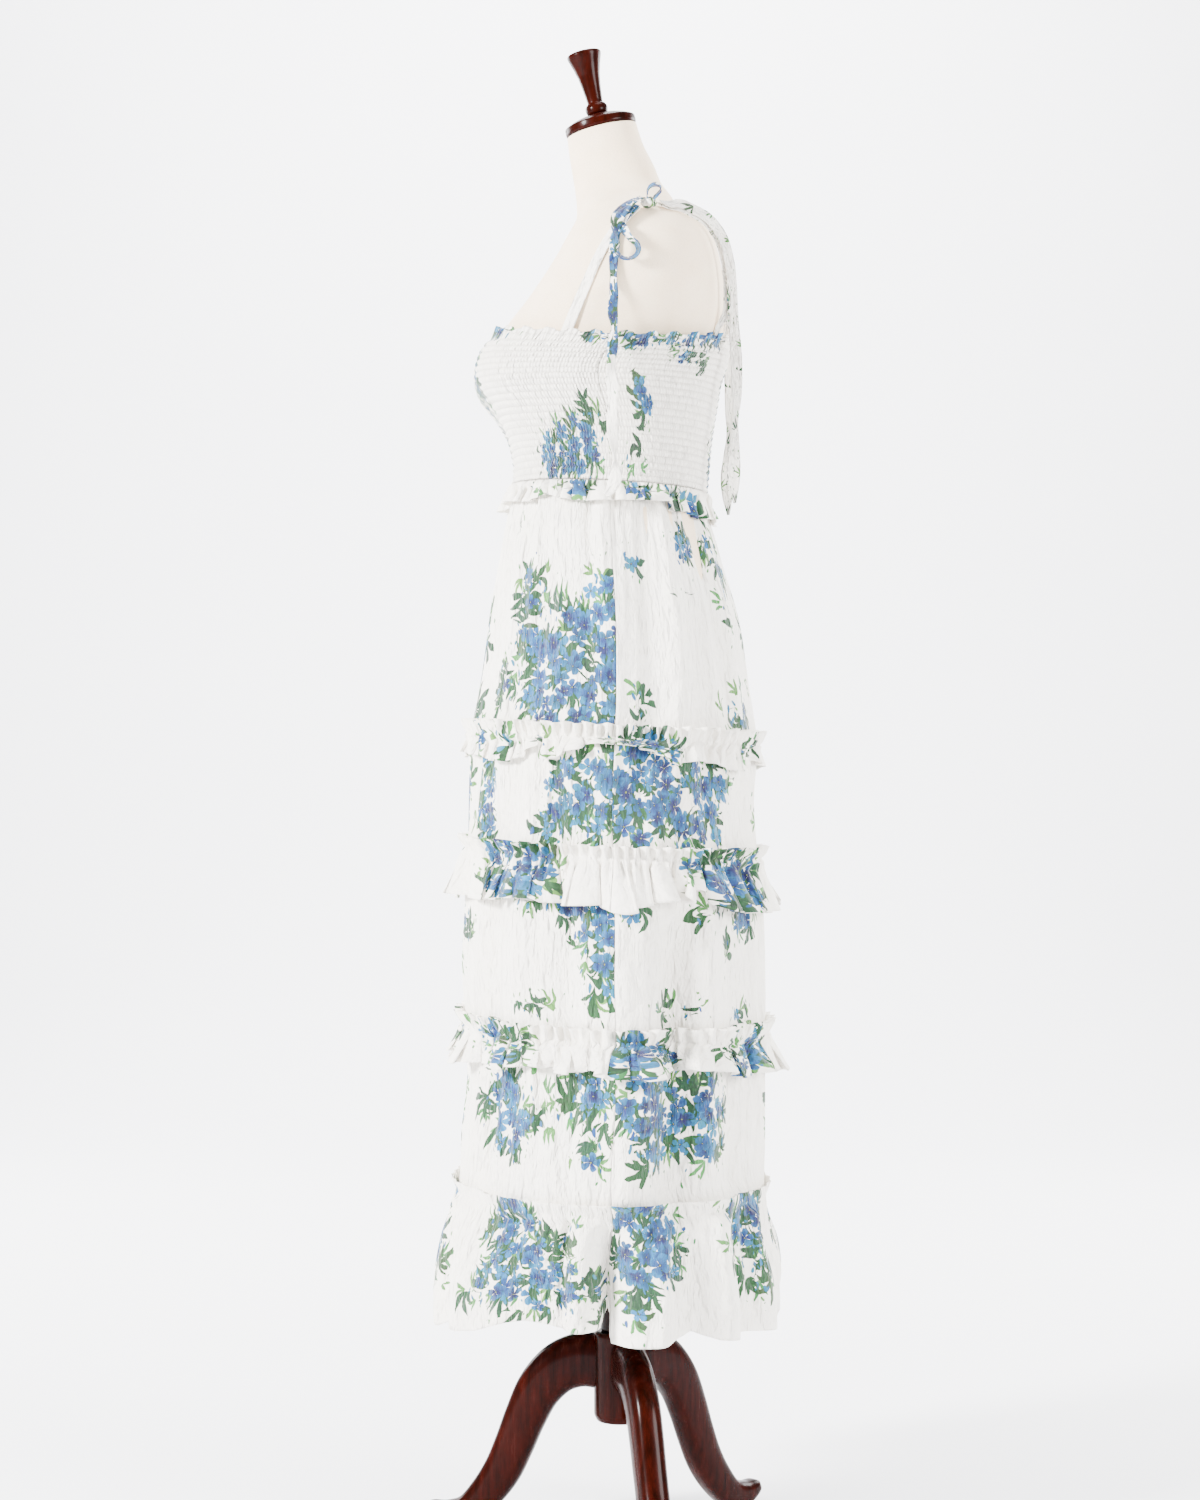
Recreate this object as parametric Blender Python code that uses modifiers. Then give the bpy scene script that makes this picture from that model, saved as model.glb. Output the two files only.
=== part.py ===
"""A tiered maxi dress with tie shoulders, worn by a limbless dress form on a turned tripod stand.

Metres, +Z up, the floor at z = 0. The dress faces -Y and its wearer's left is +X. All pieces are built
round the stand's pole, as x = y = 0, and their parent empties stand on that axis.
"""

import math
from collections import namedtuple

import bmesh
import bpy
from mathutils import Matrix, Vector

# Where the pole stands, so that the origin lies under the middle of the whole object
POLE_AT = (0.0026, 0.0204, 0.0)

# Cloth
WALL = 0.0018
SEAM_GAP = 0.0003
LAP_GAP = 0.0004
COLUMNS = 48
QUARTER = COLUMNS // 4

# Heights of the seams that run round the dress
WAIST = 1.2000
SEAM_1 = 0.9160
SEAM_2 = 0.7860
SEAM_3 = 0.5865
SEAM_4 = 0.4000
HEM = 0.2550

# One level section of the dress or the form. front and back are its reach along Y at the middle height z,
# square is 2 for an ellipse and more for a fuller outline, slope is how z rises towards the back, and dip
# is how far the sides hang below the middle.
Section = namedtuple("Section", "z front back half_width square slope dip", defaults=(0.0,))

BODICE = [
    Section(1.3765, -0.1405, 0.1270, 0.1735, 2.18, -0.035, 0.017),
    Section(1.3640, -0.1490, 0.1245, 0.1690, 2.18, -0.032, 0.015),
    Section(1.3530, -0.1580, 0.1230, 0.1670, 2.18, -0.028, 0.012),
    Section(1.3400, -0.1633, 0.1196, 0.1660, 2.18, -0.024, 0.008),
    Section(1.3250, -0.1656, 0.1146, 0.1650, 2.18, -0.020, 0.004),
    Section(1.3055, -0.1610, 0.1116, 0.1620, 2.18, -0.016),
    Section(1.2825, -0.1438, 0.1075, 0.1560, 2.17, -0.024),
    Section(1.2595, -0.1300, 0.1041, 0.1500, 2.16, -0.032),
    Section(1.2365, -0.1231, 0.1018, 0.1460, 2.15, -0.040),
    Section(1.2190, -0.1208, 0.1004, 0.1435, 2.15, -0.046),
    Section(WAIST + SEAM_GAP, -0.1230, 0.0993, 0.1420, 2.15, -0.050),
]

SKIRT = [
    Section(WAIST, -0.1230, 0.0993, 0.1420, 2.15, -0.050),
    Section(1.1840, -0.1265, 0.1012, 0.1470, 2.15, -0.050),
    Section(1.1300, -0.1370, 0.1160, 0.1620, 2.12, -0.050),
    Section(1.0600, -0.1495, 0.1370, 0.1780, 2.10, -0.048),
    Section(0.9880, -0.1590, 0.1480, 0.1920, 2.08, -0.046),
    Section(SEAM_1, -0.1714, 0.1576, 0.2030, 2.05, -0.045),
    Section(0.8520, -0.1737, 0.1540, 0.2070, 2.05, -0.043),
    Section(SEAM_2, -0.1748, 0.1580, 0.2090, 2.05, -0.040),
    Section(0.7200, -0.1771, 0.1633, 0.2120, 2.05, -0.037),
    Section(0.6550, -0.1805, 0.1650, 0.2160, 2.05, -0.033),
    Section(SEAM_3, -0.1770, 0.1655, 0.2180, 2.05, -0.030),
    Section(0.5250, -0.1755, 0.1668, 0.2200, 2.05, -0.025),
    Section(0.4630, -0.1820, 0.1664, 0.2230, 2.05, -0.020),
    Section(SEAM_4, -0.1860, 0.1658, 0.2260, 2.05, -0.014),
    Section(0.3600, -0.1978, 0.1705, 0.2360, 2.05, -0.010),
    Section(0.3100, -0.2080, 0.1825, 0.2470, 2.05, -0.005),
    Section(HEM, -0.2120, 0.1865, 0.2520, 2.05, 0.000),
]

# The form above the bodice, from the neck's slanted top down to the chest
NECK_AND_SHOULDERS = [
    Section(1.6143, -0.0605, 0.0185, 0.0395, 2.00, 0.235),
    Section(1.5900, -0.0575, 0.0268, 0.0425, 2.00, 0.200),
    Section(1.5650, -0.0535, 0.0400, 0.0460, 2.00, 0.150),
    Section(1.5480, -0.0512, 0.0480, 0.0530, 2.00, 0.100),
    Section(1.5360, -0.0500, 0.0585, 0.0680, 2.00, 0.050),
    Section(1.5260, -0.0495, 0.0655, 0.0880, 2.05, 0.020),
    Section(1.5170, -0.0495, 0.0750, 0.1080, 2.10, 0.000),
    Section(1.5080, -0.0512, 0.0890, 0.1250, 2.15, 0.000),
    Section(1.4980, -0.0560, 0.0990, 0.1410, 2.20, 0.000),
    Section(1.4850, -0.0630, 0.1075, 0.1560, 2.25, 0.000),
    Section(1.4660, -0.0730, 0.1135, 0.1680, 2.30, 0.000),
    Section(1.4420, -0.0880, 0.1175, 0.1750, 2.30, 0.000),
    Section(1.4120, -0.1090, 0.1195, 0.1740, 2.30, 0.000),
    Section(1.3850, -0.1305, 0.1185, 0.1660, 2.30, 0.000),
]
# The form's hips, hidden in the skirt
HIPS = [
    Section(1.1500, -0.1180, 0.1020, 0.1500, 2.20, 0.000),
    Section(1.0800, -0.1270, 0.1160, 0.1620, 2.20, 0.000),
    Section(1.0000, -0.1290, 0.1200, 0.1680, 2.20, 0.000),
    Section(0.9400, -0.1250, 0.1150, 0.1650, 2.20, 0.000),
    Section(0.9300, -0.1190, 0.1090, 0.1590, 2.20, 0.000),
]
FORM_CLEARANCE = 0.0070
FORM_COLUMNS = 32
FORM_BOTTOM = HIPS[-1].z

# Folds and swells that run down the cloth. Angles are in degrees round the wearer, 0 in front and 90 at
# the left side, first where the fold starts and then where it ends. A negative depth is a valley.
Fold = namedtuple("Fold", "start_angle end_angle half_width depth top bottom")
FOLDS = [
    Fold(36, 36, 22, 0.012, 1.46, 1.20),
    Fold(-36, -36, 22, 0.012, 1.46, 1.20),
    Fold(22, 25, 9, -0.007, 1.19, 0.80),
    Fold(55, 50, 9, -0.008, 1.19, 0.80),
    Fold(103, 106, 9, -0.010, 1.19, 0.80),
    Fold(132, 128, 9, -0.008, 1.19, 0.80),
    Fold(161, 164, 9, -0.007, 1.19, 0.80),
    Fold(39, 31, 8, -0.016, 0.92, 0.35),
    Fold(73, 70, 8, -0.010, 0.90, 0.38),
    Fold(114, 114, 8, -0.026, 0.82, 0.34),
    Fold(92, 94, 10, 0.008, 0.80, 0.36),
    Fold(145, 147, 8, -0.015, 0.88, 0.34),
    Fold(20, 24, 9, -0.018, 0.42, 0.05),
    Fold(66, 71, 8, -0.020, 0.42, 0.05),
    Fold(89, 88, 7, -0.045, 0.43, 0.05),
    Fold(117, 117, 8, -0.020, 0.42, 0.05),
    Fold(144, 143, 8, -0.018, 0.42, 0.05),
    Fold(-18, -20, 9, -0.008, 1.19, 0.80),
    Fold(-58, -52, 9, -0.009, 1.19, 0.80),
    Fold(-98, -95, 9, -0.009, 1.19, 0.80),
    Fold(-138, -134, 9, -0.008, 1.19, 0.80),
    Fold(-34, -38, 8, -0.015, 0.92, 0.35),
    Fold(-77, -80, 8, -0.020, 0.86, 0.35),
    Fold(-121, -117, 8, -0.018, 0.90, 0.35),
    Fold(-160, -157, 8, -0.013, 0.90, 0.35),
    Fold(-24, -19, 9, -0.017, 0.42, 0.05),
    Fold(-60, -64, 8, -0.024, 0.42, 0.05),
    Fold(-101, -98, 8, -0.034, 0.42, 0.05),
    Fold(-140, -146, 8, -0.020, 0.42, 0.05),
    Fold(178, 175, 8, -0.016, 0.42, 0.05),
]
FADE_IN = 0.35
FADE_OUT = 0.25

# Gathered strips sewn on over the seams: how far each row drops below the stitching, how far it stands
# out from the skirt, and how far its waves swing
Lift = namedtuple("Lift", "drop out wave")
STITCHED = Lift(0.0, WALL + LAP_GAP, 0.0)
WAIST_FRILL = [STITCHED, Lift(0.010, 0.0060, 0.0015), Lift(0.022, 0.0095, 0.0030)]
RUFFLE_1 = [
    Lift(-0.015, 0.0080, 0.0020), STITCHED, Lift(0.014, 0.0065, 0.0015), Lift(0.034, 0.0085, 0.0035),
]
RUFFLE_2 = [
    Lift(-0.013, 0.0090, 0.0020), STITCHED, Lift(0.022, 0.0110, 0.0030), Lift(0.053, 0.0200, 0.0060),
]
RUFFLE_3 = [
    Lift(-0.016, 0.0095, 0.0020), STITCHED, Lift(0.022, 0.0110, 0.0030), Lift(0.054, 0.0190, 0.0060),
]
FLOUNCE_TOP = [Lift(-0.014, 0.0090, 0.0020), STITCHED]
RUFFLE_WAVES = 11
WAVE_DRIFT = 1.3

# Neck cap and finial, turned about an axis that leans forward from the middle of the neck's top
CAP_AT = Vector((0.0, -0.0210, 1.6146))
CAP_LEAN = math.radians(13.2)
FORM_GAP = 0.0003
CAP_PROFILE = [
    (0.0400, FORM_GAP), (0.0412, 0.0030), (0.0412, 0.0075), (0.0395, 0.0105), (0.0330, 0.0135),
    (0.0240, 0.0165), (0.0150, 0.0185),
]
CAP_TOP = CAP_PROFILE[-1][1]
FINIAL_PROFILE = [
    (0.0080, 0.0000), (0.0120, 0.0020), (0.0128, 0.0060), (0.0120, 0.0105), (0.0088, 0.0130),
    (0.0092, 0.0190), (0.0108, 0.0340), (0.0138, 0.0500), (0.0178, 0.0640), (0.0200, 0.0700),
    (0.0196, 0.0725), (0.0120, 0.0745),
]
TURNED_STEPS = 24

# Stand
HUB_RADIUS = 0.0300
HUB_BOTTOM = 0.1320
HUB_TOP = 0.2360
COLLAR_RADIUS = 0.0225
COLLAR_TOP = 0.2640
TUBE_RADIUS = 0.0160
TUBE_TOP = 0.6200
TUBE_BOTTOM = 0.1400
POLE_RADIUS = 0.0125
POLE_PLAY = 0.0005
POLE_BOTTOM = 0.3000
SOCKET_DEPTH = 0.0600
HUB_EDGE = 0.0050
SMALL_EDGE = 0.0015
TUBE_EDGE = 0.0005

# The leg's middle line in its own upright plane, with its depth in that plane and its width across
LegRow = namedtuple("LegRow", "reach height depth width steepness")
LEG = [
    LegRow(0.0240, 0.2030, 0.0640, 0.0370, 0),
    LegRow(0.0480, 0.2025, 0.0620, 0.0370, 6),
    LegRow(0.0740, 0.1910, 0.0580, 0.0370, 32),
    LegRow(0.0970, 0.1660, 0.0530, 0.0365, 54),
    LegRow(0.1130, 0.1340, 0.0490, 0.0360, 66),
    LegRow(0.1265, 0.1010, 0.0465, 0.0355, 67),
    LegRow(0.1415, 0.0690, 0.0445, 0.0350, 60),
    LegRow(0.1620, 0.0410, 0.0405, 0.0340, 42),
    LegRow(0.1870, 0.0190, 0.0360, 0.0320, 16),
    LegRow(0.2110, 0.0155, 0.0290, 0.0290, -8),
    LegRow(0.2290, 0.0205, 0.0190, 0.0230, -24),
    LegRow(0.2350, 0.0235, 0.0080, 0.0120, -30),
]
LEG_SIDES = 12
LEG_SQUARE = 2.6
SOLE_HEIGHT = 0.0030
# Each leg's direction in plan, in degrees from +X towards +Y
LEGS = {"leg_left": 15, "leg_back": 135, "leg_front": -105}

# Ties: flat strips on the left shoulder, mirrored on the right. Each row is a point, the strip's width
# there, its height over the form where it is laid on it, or None where it hangs free, and how far it
# is turned on its own length from lying flat, in degrees.
TIE_WALL = 0.0012
LAID = 0.0016
LAID_OVER = 0.0040
Tie = namedtuple("Tie", "x y z width lift turn", defaults=(0.0,))
FRONT_STRAP = [
    Tie(0.1480, -0.0620, 1.3480, 0.0125, 0.0036), Tie(0.1520, -0.0560, 1.3660, 0.0125, 0.0036),
    Tie(0.1590, -0.0470, 1.3900, 0.0122, 0.0025), Tie(0.1650, -0.0350, 1.4170, 0.0120, LAID),
    Tie(0.1620, -0.0220, 1.4400, 0.0120, LAID), Tie(0.1560, -0.0100, 1.4590, 0.0120, LAID),
    Tie(0.1500, 0.0020, 1.4760, 0.0120, LAID), Tie(0.1440, 0.0110, 1.4880, 0.0110, LAID),
    Tie(0.1400, 0.0180, 1.4960, 0.0100, 0.0045),
]
BACK_STRAP = [
    Tie(0.1290, 0.0420, 1.5040, 0.0100, 0.0045, 0), Tie(0.1250, 0.0510, 1.5045, 0.0110, 0.0028, -15),
    Tie(0.1190, 0.0630, 1.5030, 0.0120, 0.0054, -35), Tie(0.1130, 0.0780, 1.4990, 0.0120, 0.0062, -45),
    Tie(0.1060, 0.0945, 1.4930, 0.0120, None, -50), Tie(0.1000, 0.1090, 1.4760, 0.0120, None, -60),
    Tie(0.0950, 0.1175, 1.4500, 0.0120, None, -60), Tie(0.0890, 0.1210, 1.4180, 0.0120, None, -60),
    Tie(0.0840, 0.1190, 1.3940, 0.0110, None, -45), Tie(0.0810, 0.1085, 1.3740, 0.0110, None, -10),
    Tie(0.0800, 0.1060, 1.3560, 0.0110, None, 0),
]
FRONT_TAIL = [
    Tie(0.1400, 0.0175, 1.4960, 0.0090, 0.0066), Tie(0.1440, 0.0110, 1.4880, 0.0100, LAID_OVER),
    Tie(0.1510, 0.0040, 1.4760, 0.0105, LAID_OVER), Tie(0.1590, -0.0030, 1.4600, 0.0105, LAID_OVER),
    Tie(0.1740, -0.0075, 1.4400, 0.0105, LAID_OVER), Tie(0.1795, -0.0085, 1.4150, 0.0105, None),
    Tie(0.1815, -0.0090, 1.3600, 0.0110, None), Tie(0.1815, -0.0095, 1.3000, 0.0130, None),
    Tie(0.1810, -0.0090, 1.2400, 0.0130, None), Tie(0.1805, -0.0070, 1.2050, 0.0140, None),
    Tie(0.1800, -0.0050, 1.1790, 0.0100, None),
]
# The back tail lies beside the back strap over the shoulder, then hangs free
TAIL_BESIDE = 0.0026
TAIL_ABOVE = 0.0030
BACK_TAIL_ROWS_BESIDE = 8
BACK_TAIL = [
    Tie(0.0850, 0.1265, 1.3850, 0.0120, None, -60), Tie(0.0840, 0.1300, 1.3300, 0.0125, None, -60),
    Tie(0.0840, 0.1290, 1.2700, 0.0080, None, -50), Tie(0.0840, 0.1270, 1.2200, 0.0145, None, -65),
    Tie(0.0840, 0.1275, 1.1800, 0.0050, None, -65),
]
# The bow's long loop runs down the front of the shoulder, twists on edge, goes round in an open ring
# and comes back under itself. The ring flares towards the wearer's left.
LOOP_OUT = [
    Tie(0.1350, 0.0235, 1.5020, 0.0080, 0.0126, 0), Tie(0.1450, 0.0120, 1.4925, 0.0165, 0.0135, 0),
    Tie(0.1540, 0.0030, 1.4810, 0.0180, 0.0140, 10), Tie(0.1610, -0.0015, 1.4710, 0.0140, 0.0150, 40),
    Tie(0.1680, -0.0035, 1.4620, 0.0105, 0.0160, 70),
]
LOOP_BACK = [
    Tie(0.1700, 0.0065, 1.4640, 0.0100, 0.0110, 50), Tie(0.1600, 0.0025, 1.4720, 0.0110, 0.0078, 0),
    Tie(0.1480, 0.0090, 1.4860, 0.0110, 0.0085, 0), Tie(0.1430, 0.0150, 1.4940, 0.0085, 0.0095, 0),
]
RING_AT = (0.1870, 0.0068, 1.4475)
RING_DEPTH = 0.0120
RING_HEIGHT = 0.0105
RING_WIDTH = 0.0100
RING_FLARE = 30
RING_ANGLES = [150, 175, 200, 225, 250, 275, 300, 325, 350, 375, 400, 420]
# The short loop stands over the knot, each row out from the knot along Y and up from it
SHORT_LOOP = [
    (0.0050, 0.0056), (0.0095, 0.0110), (0.0125, 0.0165), (0.0100, 0.0210), (0.0040, 0.0215),
    (-0.0010, 0.0180), (-0.0025, 0.0120), (-0.0015, 0.0068),
]
SHORT_LOOP_WIDTH = 0.0110
KNOT_AT = Vector((0.1345, 0.0300, 1.5000))
KNOT_RADII = (0.0062, 0.0085, 0.0060)
KNOT_LIFT = 0.0066


def smoothstep(value):
    value = min(1.0, max(0.0, value))
    return value * value * (3.0 - 2.0 * value)


def fold_depth(angle, z):
    """How far the folds move the cloth out at an angle and a height."""
    total = 0.0
    for fold in FOLDS:
        along = (fold.top - z) / (fold.top - fold.bottom)
        if not 0.0 < along < 1.0:
            continue
        middle = fold.start_angle + (fold.end_angle - fold.start_angle) * along
        aside = (angle - middle + 180.0) % 360.0 - 180.0
        strength = smoothstep(along / FADE_IN) * smoothstep((1.0 - along) / FADE_OUT)
        total += fold.depth * strength * math.exp(-((aside / fold.half_width) ** 2))
    return total


def section_at(table, z):
    """The table's section at a height, between its rows."""
    for upper, lower in zip(table, table[1:]):
        if upper.z >= z >= lower.z:
            share = (upper.z - z) / (upper.z - lower.z)
            return Section(*(a + (b - a) * share for a, b in zip(upper, lower)))
    return table[0] if z > table[0].z else table[-1]


def power(value, exponent):
    return math.copysign(abs(value) ** exponent, value)


def ring(section, columns, folded):
    """The points of a section, from the front round by the left side, within its own front and back."""
    middle = (section.front + section.back) / 2
    half = (section.back - section.front) / 2
    points = []
    for column in range(columns):
        angle = 360.0 * column / columns
        across = power(math.sin(math.radians(angle)), 2 / section.square)
        along = -power(math.cos(math.radians(angle)), 2 / section.square)
        outward = Vector((across / section.half_width, along / half)).normalized()
        out = fold_depth(angle, section.z) if folded else 0.0
        points.append(Vector((across * section.half_width, along * half)) + outward * out)
    nearest = min(point.y for point in points)
    furthest = max(point.y for point in points)
    scale = 2 * half / (furthest - nearest)
    placed = []
    for point in points:
        y = section.front + (point.y - nearest) * scale
        rise = section.slope * (y - middle) - section.dip * (point.x / section.half_width) ** 2
        placed.append(Vector((point.x, y, section.z + rise)))
    return placed


def plan_normals(points):
    """Level normals of a closed ring, pointing out of it."""
    count = len(points)
    normals = []
    for column in range(count):
        run = points[(column + 1) % count] - points[column - 1]
        normals.append(Vector((run.y, -run.x, 0.0)).normalized())
    return normals


def wave(column, columns):
    turn = 2 * math.pi * column / columns
    return math.sin(RUFFLE_WAVES * turn + WAVE_DRIFT * math.sin(3 * turn))


def lifted_rings(table, seam, lifts):
    """Rings of a strip sewn on at a seam, made from the skirt's points and moved out."""
    rings = []
    for lift in lifts:
        base = ring(section_at(table, seam - lift.drop), COLUMNS, True)
        normals = plan_normals(base)
        moved = []
        for column, (point, normal) in enumerate(zip(base, normals)):
            moved.append(point + normal * (lift.out + lift.wave * wave(column, COLUMNS)))
        rings.append(moved)
    return rings


def table_rings(table, top, bottom):
    return [ring(section, COLUMNS, True) for section in table if bottom <= section.z <= top]


def lowered(points, distance):
    return [point - Vector((0.0, 0.0, distance)) for point in points]


def material(name, colour, roughness, metallic=0.0):
    made = bpy.data.materials.new(name)
    made.use_nodes = True
    shader = made.node_tree.nodes["Principled BSDF"]
    shader.inputs["Base Color"].default_value = (*colour, 1.0)
    shader.inputs["Roughness"].default_value = roughness
    shader.inputs["Metallic"].default_value = metallic
    return made


def add_object(name, mesh, finish, parent, smooth=True):
    made = bpy.data.objects.new(name, mesh)
    parts.objects.link(made)
    made.parent = parent
    mesh.materials.append(finish)
    if smooth:
        mesh.shade_smooth()
        mesh.set_sharp_from_angle(angle=math.radians(40))
    return made


def mesh_from(name, points, faces):
    mesh = bpy.data.meshes.new(name)
    bm = bmesh.new()
    verts = [bm.verts.new(point) for point in points]
    for face in faces:
        bm.faces.new([verts[index] for index in face])
    bmesh.ops.recalc_face_normals(bm, faces=bm.faces)
    bm.to_mesh(mesh)
    bm.free()
    return mesh


def cloth_panel(name, rings, first, last, finish, parent):
    """A cloth wall between two columns of the rings, with half of each side seam's gap left free."""
    count = last - first + 1
    outer = []
    inner = []
    for points in rings:
        normals = plan_normals(points)
        for column in range(first, last + 1):
            point = points[column % COLUMNS].copy()
            normal = normals[column % COLUMNS]
            aside = Vector((-normal.y, normal.x, 0.0)) * (SEAM_GAP / 2)
            if column == first:
                point += aside
            if column == last:
                point -= aside
            outer.append(point)
            inner.append(point - normal * WALL)
    total = len(outer)
    faces = []
    for row in range(len(rings) - 1):
        for column in range(count - 1):
            corner = row * count + column
            quad = (corner, corner + 1, corner + count + 1, corner + count)
            faces.append(quad)
            faces.append(tuple(index + total for index in reversed(quad)))
    rim = list(range(count))
    rim += [row * count + count - 1 for row in range(1, len(rings))]
    rim += [(len(rings) - 1) * count + column for column in range(count - 2, -1, -1)]
    rim += [row * count for row in range(len(rings) - 2, 0, -1)]
    for here, after in zip(rim, rim[1:] + rim[:1]):
        faces.append((here, here + total, after + total, after))
    return add_object(name, mesh_from(name, outer + inner, faces), finish, parent)


def front_and_back(name, rings, finish, parent):
    """Two panels that meet at the side seams."""
    cloth_panel(name + "_front", rings, -QUARTER, QUARTER, finish, parent)
    cloth_panel(name + "_back", rings, QUARTER, 3 * QUARTER, finish, parent)


def loft(name, rings, finish, parent):
    """A closed solid through rings of equal counts, with flat ends."""
    count = len(rings[0])
    points = [point for points in rings for point in points]
    faces = [tuple(range(count)), tuple(range(len(points) - count, len(points)))]
    for row in range(len(rings) - 1):
        for column in range(count):
            here = row * count + column
            after = row * count + (column + 1) % count
            faces.append((here, after, after + count, here + count))
    return add_object(name, mesh_from(name, points, faces), finish, parent)


def turned(name, profile, finish, parent, steps=TURNED_STEPS):
    """A turned solid. The profile is radius and height from the axis, down its outer side to the axis."""
    mesh = bpy.data.meshes.new(name)
    bm = bmesh.new()
    verts = [bm.verts.new((radius, 0.0, height)) for radius, height in profile]
    for upper, lower in zip(verts, verts[1:]):
        bm.edges.new((upper, lower))
    bm.to_mesh(mesh)
    bm.free()
    made = add_object(name, mesh, finish, parent)
    screw = made.modifiers.new("turn", "SCREW")
    screw.axis = "Z"
    screw.steps = steps
    screw.render_steps = steps
    screw.use_merge_vertices = True
    screw.merge_threshold = 0.00001
    screw.use_smooth_shade = True
    return made


def solid_profile(profile):
    """A turned solid's closed profile: from the axis at its top, down the outside and back to the axis."""
    outside = sorted(profile, key=lambda point: -point[1])
    return [(0.0, outside[0][1])] + outside + [(0.0, outside[-1][1])]


def ring_profile(outer, inner, bottom, top, edge):
    """A turned ring's closed profile, with its outer edges broken."""
    return [
        (inner, top), (outer - edge, top), (outer, top - edge), (outer, bottom + edge),
        (outer - edge, bottom), (inner, bottom), (inner, top),
    ]


def cut(target, cutter):
    """Takes the cutter out of the target."""
    cutter.hide_render = True
    cutter.display_type = "WIRE"
    parts.objects.unlink(cutter)
    cutters.objects.link(cutter)
    boolean = target.modifiers.new("cut", "BOOLEAN")
    boolean.operation = "DIFFERENCE"
    boolean.solver = "EXACT"
    boolean.object = cutter


def make_leg(name, degrees, finish, parent):
    """One scrolled leg, coped to the hub and cut flat where it meets the floor."""
    rings = []
    for row in LEG:
        slope = math.radians(row.steepness)
        upward = Vector((math.sin(slope), 0.0, math.cos(slope)))
        middle = Vector((row.reach, 0.0, row.height))
        points = []
        for side in range(LEG_SIDES):
            turn = 2 * math.pi * (side + 0.5) / LEG_SIDES
            across = power(math.cos(turn), 2 / LEG_SQUARE) * row.width / 2
            along = power(math.sin(turn), 2 / LEG_SQUARE) * row.depth / 2
            points.append(middle + Vector((0.0, across, 0.0)) + upward * along)
        rings.append(points)
    leg = loft(name, rings, finish, parent)
    bm = bmesh.new()
    bm.from_mesh(leg.data)
    bmesh.ops.bisect_plane(
        bm, geom=bm.verts[:] + bm.edges[:] + bm.faces[:], plane_co=(0.0, 0.0, SOLE_HEIGHT),
        plane_no=(0.0, 0.0, -1.0), clear_outer=True,
    )
    bmesh.ops.holes_fill(bm, edges=[edge for edge in bm.edges if edge.is_boundary])
    bmesh.ops.translate(bm, verts=bm.verts, vec=(0.0, 0.0, -SOLE_HEIGHT))
    bmesh.ops.rotate(bm, verts=bm.verts, matrix=Matrix.Rotation(math.radians(degrees), 3, "Z"))
    bmesh.ops.recalc_face_normals(bm, faces=bm.faces)
    bm.to_mesh(leg.data)
    bm.free()
    leg.data.set_sharp_from_angle(angle=math.radians(40))
    cope = turned(
        name + "_cope",
        solid_profile([(HUB_RADIUS + FORM_GAP, HUB_TOP + HUB_RADIUS), (HUB_RADIUS + FORM_GAP, 0.0)]),
        finish, parent, steps=2 * TURNED_STEPS,
    )
    cut(leg, cope)
    return leg


def form_sections():
    """The form from the neck to its underside, a little inside the bodice where that covers it."""
    covered = []
    for row in BODICE[1:]:
        covered.append(row._replace(
            front=row.front + FORM_CLEARANCE, back=row.back - FORM_CLEARANCE,
            half_width=row.half_width - FORM_CLEARANCE, slope=0.0, dip=0.0,
        ))
    return NECK_AND_SHOULDERS + covered + HIPS


def form_level(point):
    """Nearly how many radii a point is outside the form: 0 on its surface."""
    section = section_at(FORM, point.z)
    middle = (section.front + section.back) / 2
    half = (section.back - section.front) / 2
    across = abs(point.x / section.half_width) ** section.square
    along = abs((point.y - middle) / half) ** section.square
    return (across + along) ** (1 / section.square) - 1


def form_slope(point):
    """The gradient of form_level."""
    step = 0.0005
    parts_of_slope = []
    for axis in range(3):
        shift = Vector((0.0, 0.0, 0.0))
        shift[axis] = step
        parts_of_slope.append((form_level(point + shift) - form_level(point - shift)) / (2 * step))
    return Vector(parts_of_slope)


def seated(point, lift):
    """The point above the form's surface by lift, nearest to a point close to it."""
    for _ in range(6):
        slope = form_slope(point)
        point = point - slope * (form_level(point) / slope.length_squared)
    return point + form_slope(point).normalized() * lift


def strip(name, points, widths, spreads, finish, parent, mirrored):
    """A flat strip along points, each spread being the direction of its width there."""
    side = -1.0 if mirrored else 1.0
    verts = []
    for point, width, spread in zip(points, widths, spreads):
        for place in (point - spread * (width / 2), point + spread * (width / 2)):
            verts.append((place.x * side, place.y, place.z))
    faces = [(2 * row, 2 * row + 1, 2 * row + 3, 2 * row + 2) for row in range(len(points) - 1)]
    made = add_object(name, mesh_from(name, verts, faces), finish, parent)
    solidify = made.modifiers.new("thickness", "SOLIDIFY")
    solidify.thickness = TIE_WALL
    solidify.offset = 0.0
    return made


def run_at(points, index):
    """The direction of a route at one of its points."""
    return (points[min(index + 1, len(points) - 1)] - points[max(index - 1, 0)]).normalized()


def laid(rows):
    """A tie's points, and the directions of its width."""
    points = []
    for row in rows:
        point = Vector((row.x, row.y, row.z))
        points.append(point if row.lift is None else seated(point, row.lift))
    spreads = []
    for index, row in enumerate(rows):
        outward = form_slope(points[index]).normalized()
        flat = run_at(points, index).cross(outward).normalized()
        turn = math.radians(row.turn)
        spreads.append((flat * math.cos(turn) + outward * math.sin(turn)).normalized())
    return points, spreads


def make_tie(name, rows, finish, parent, mirrored):
    points, spreads = laid(rows)
    return strip(name, points, [row.width for row in rows], spreads, finish, parent, mirrored)


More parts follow.
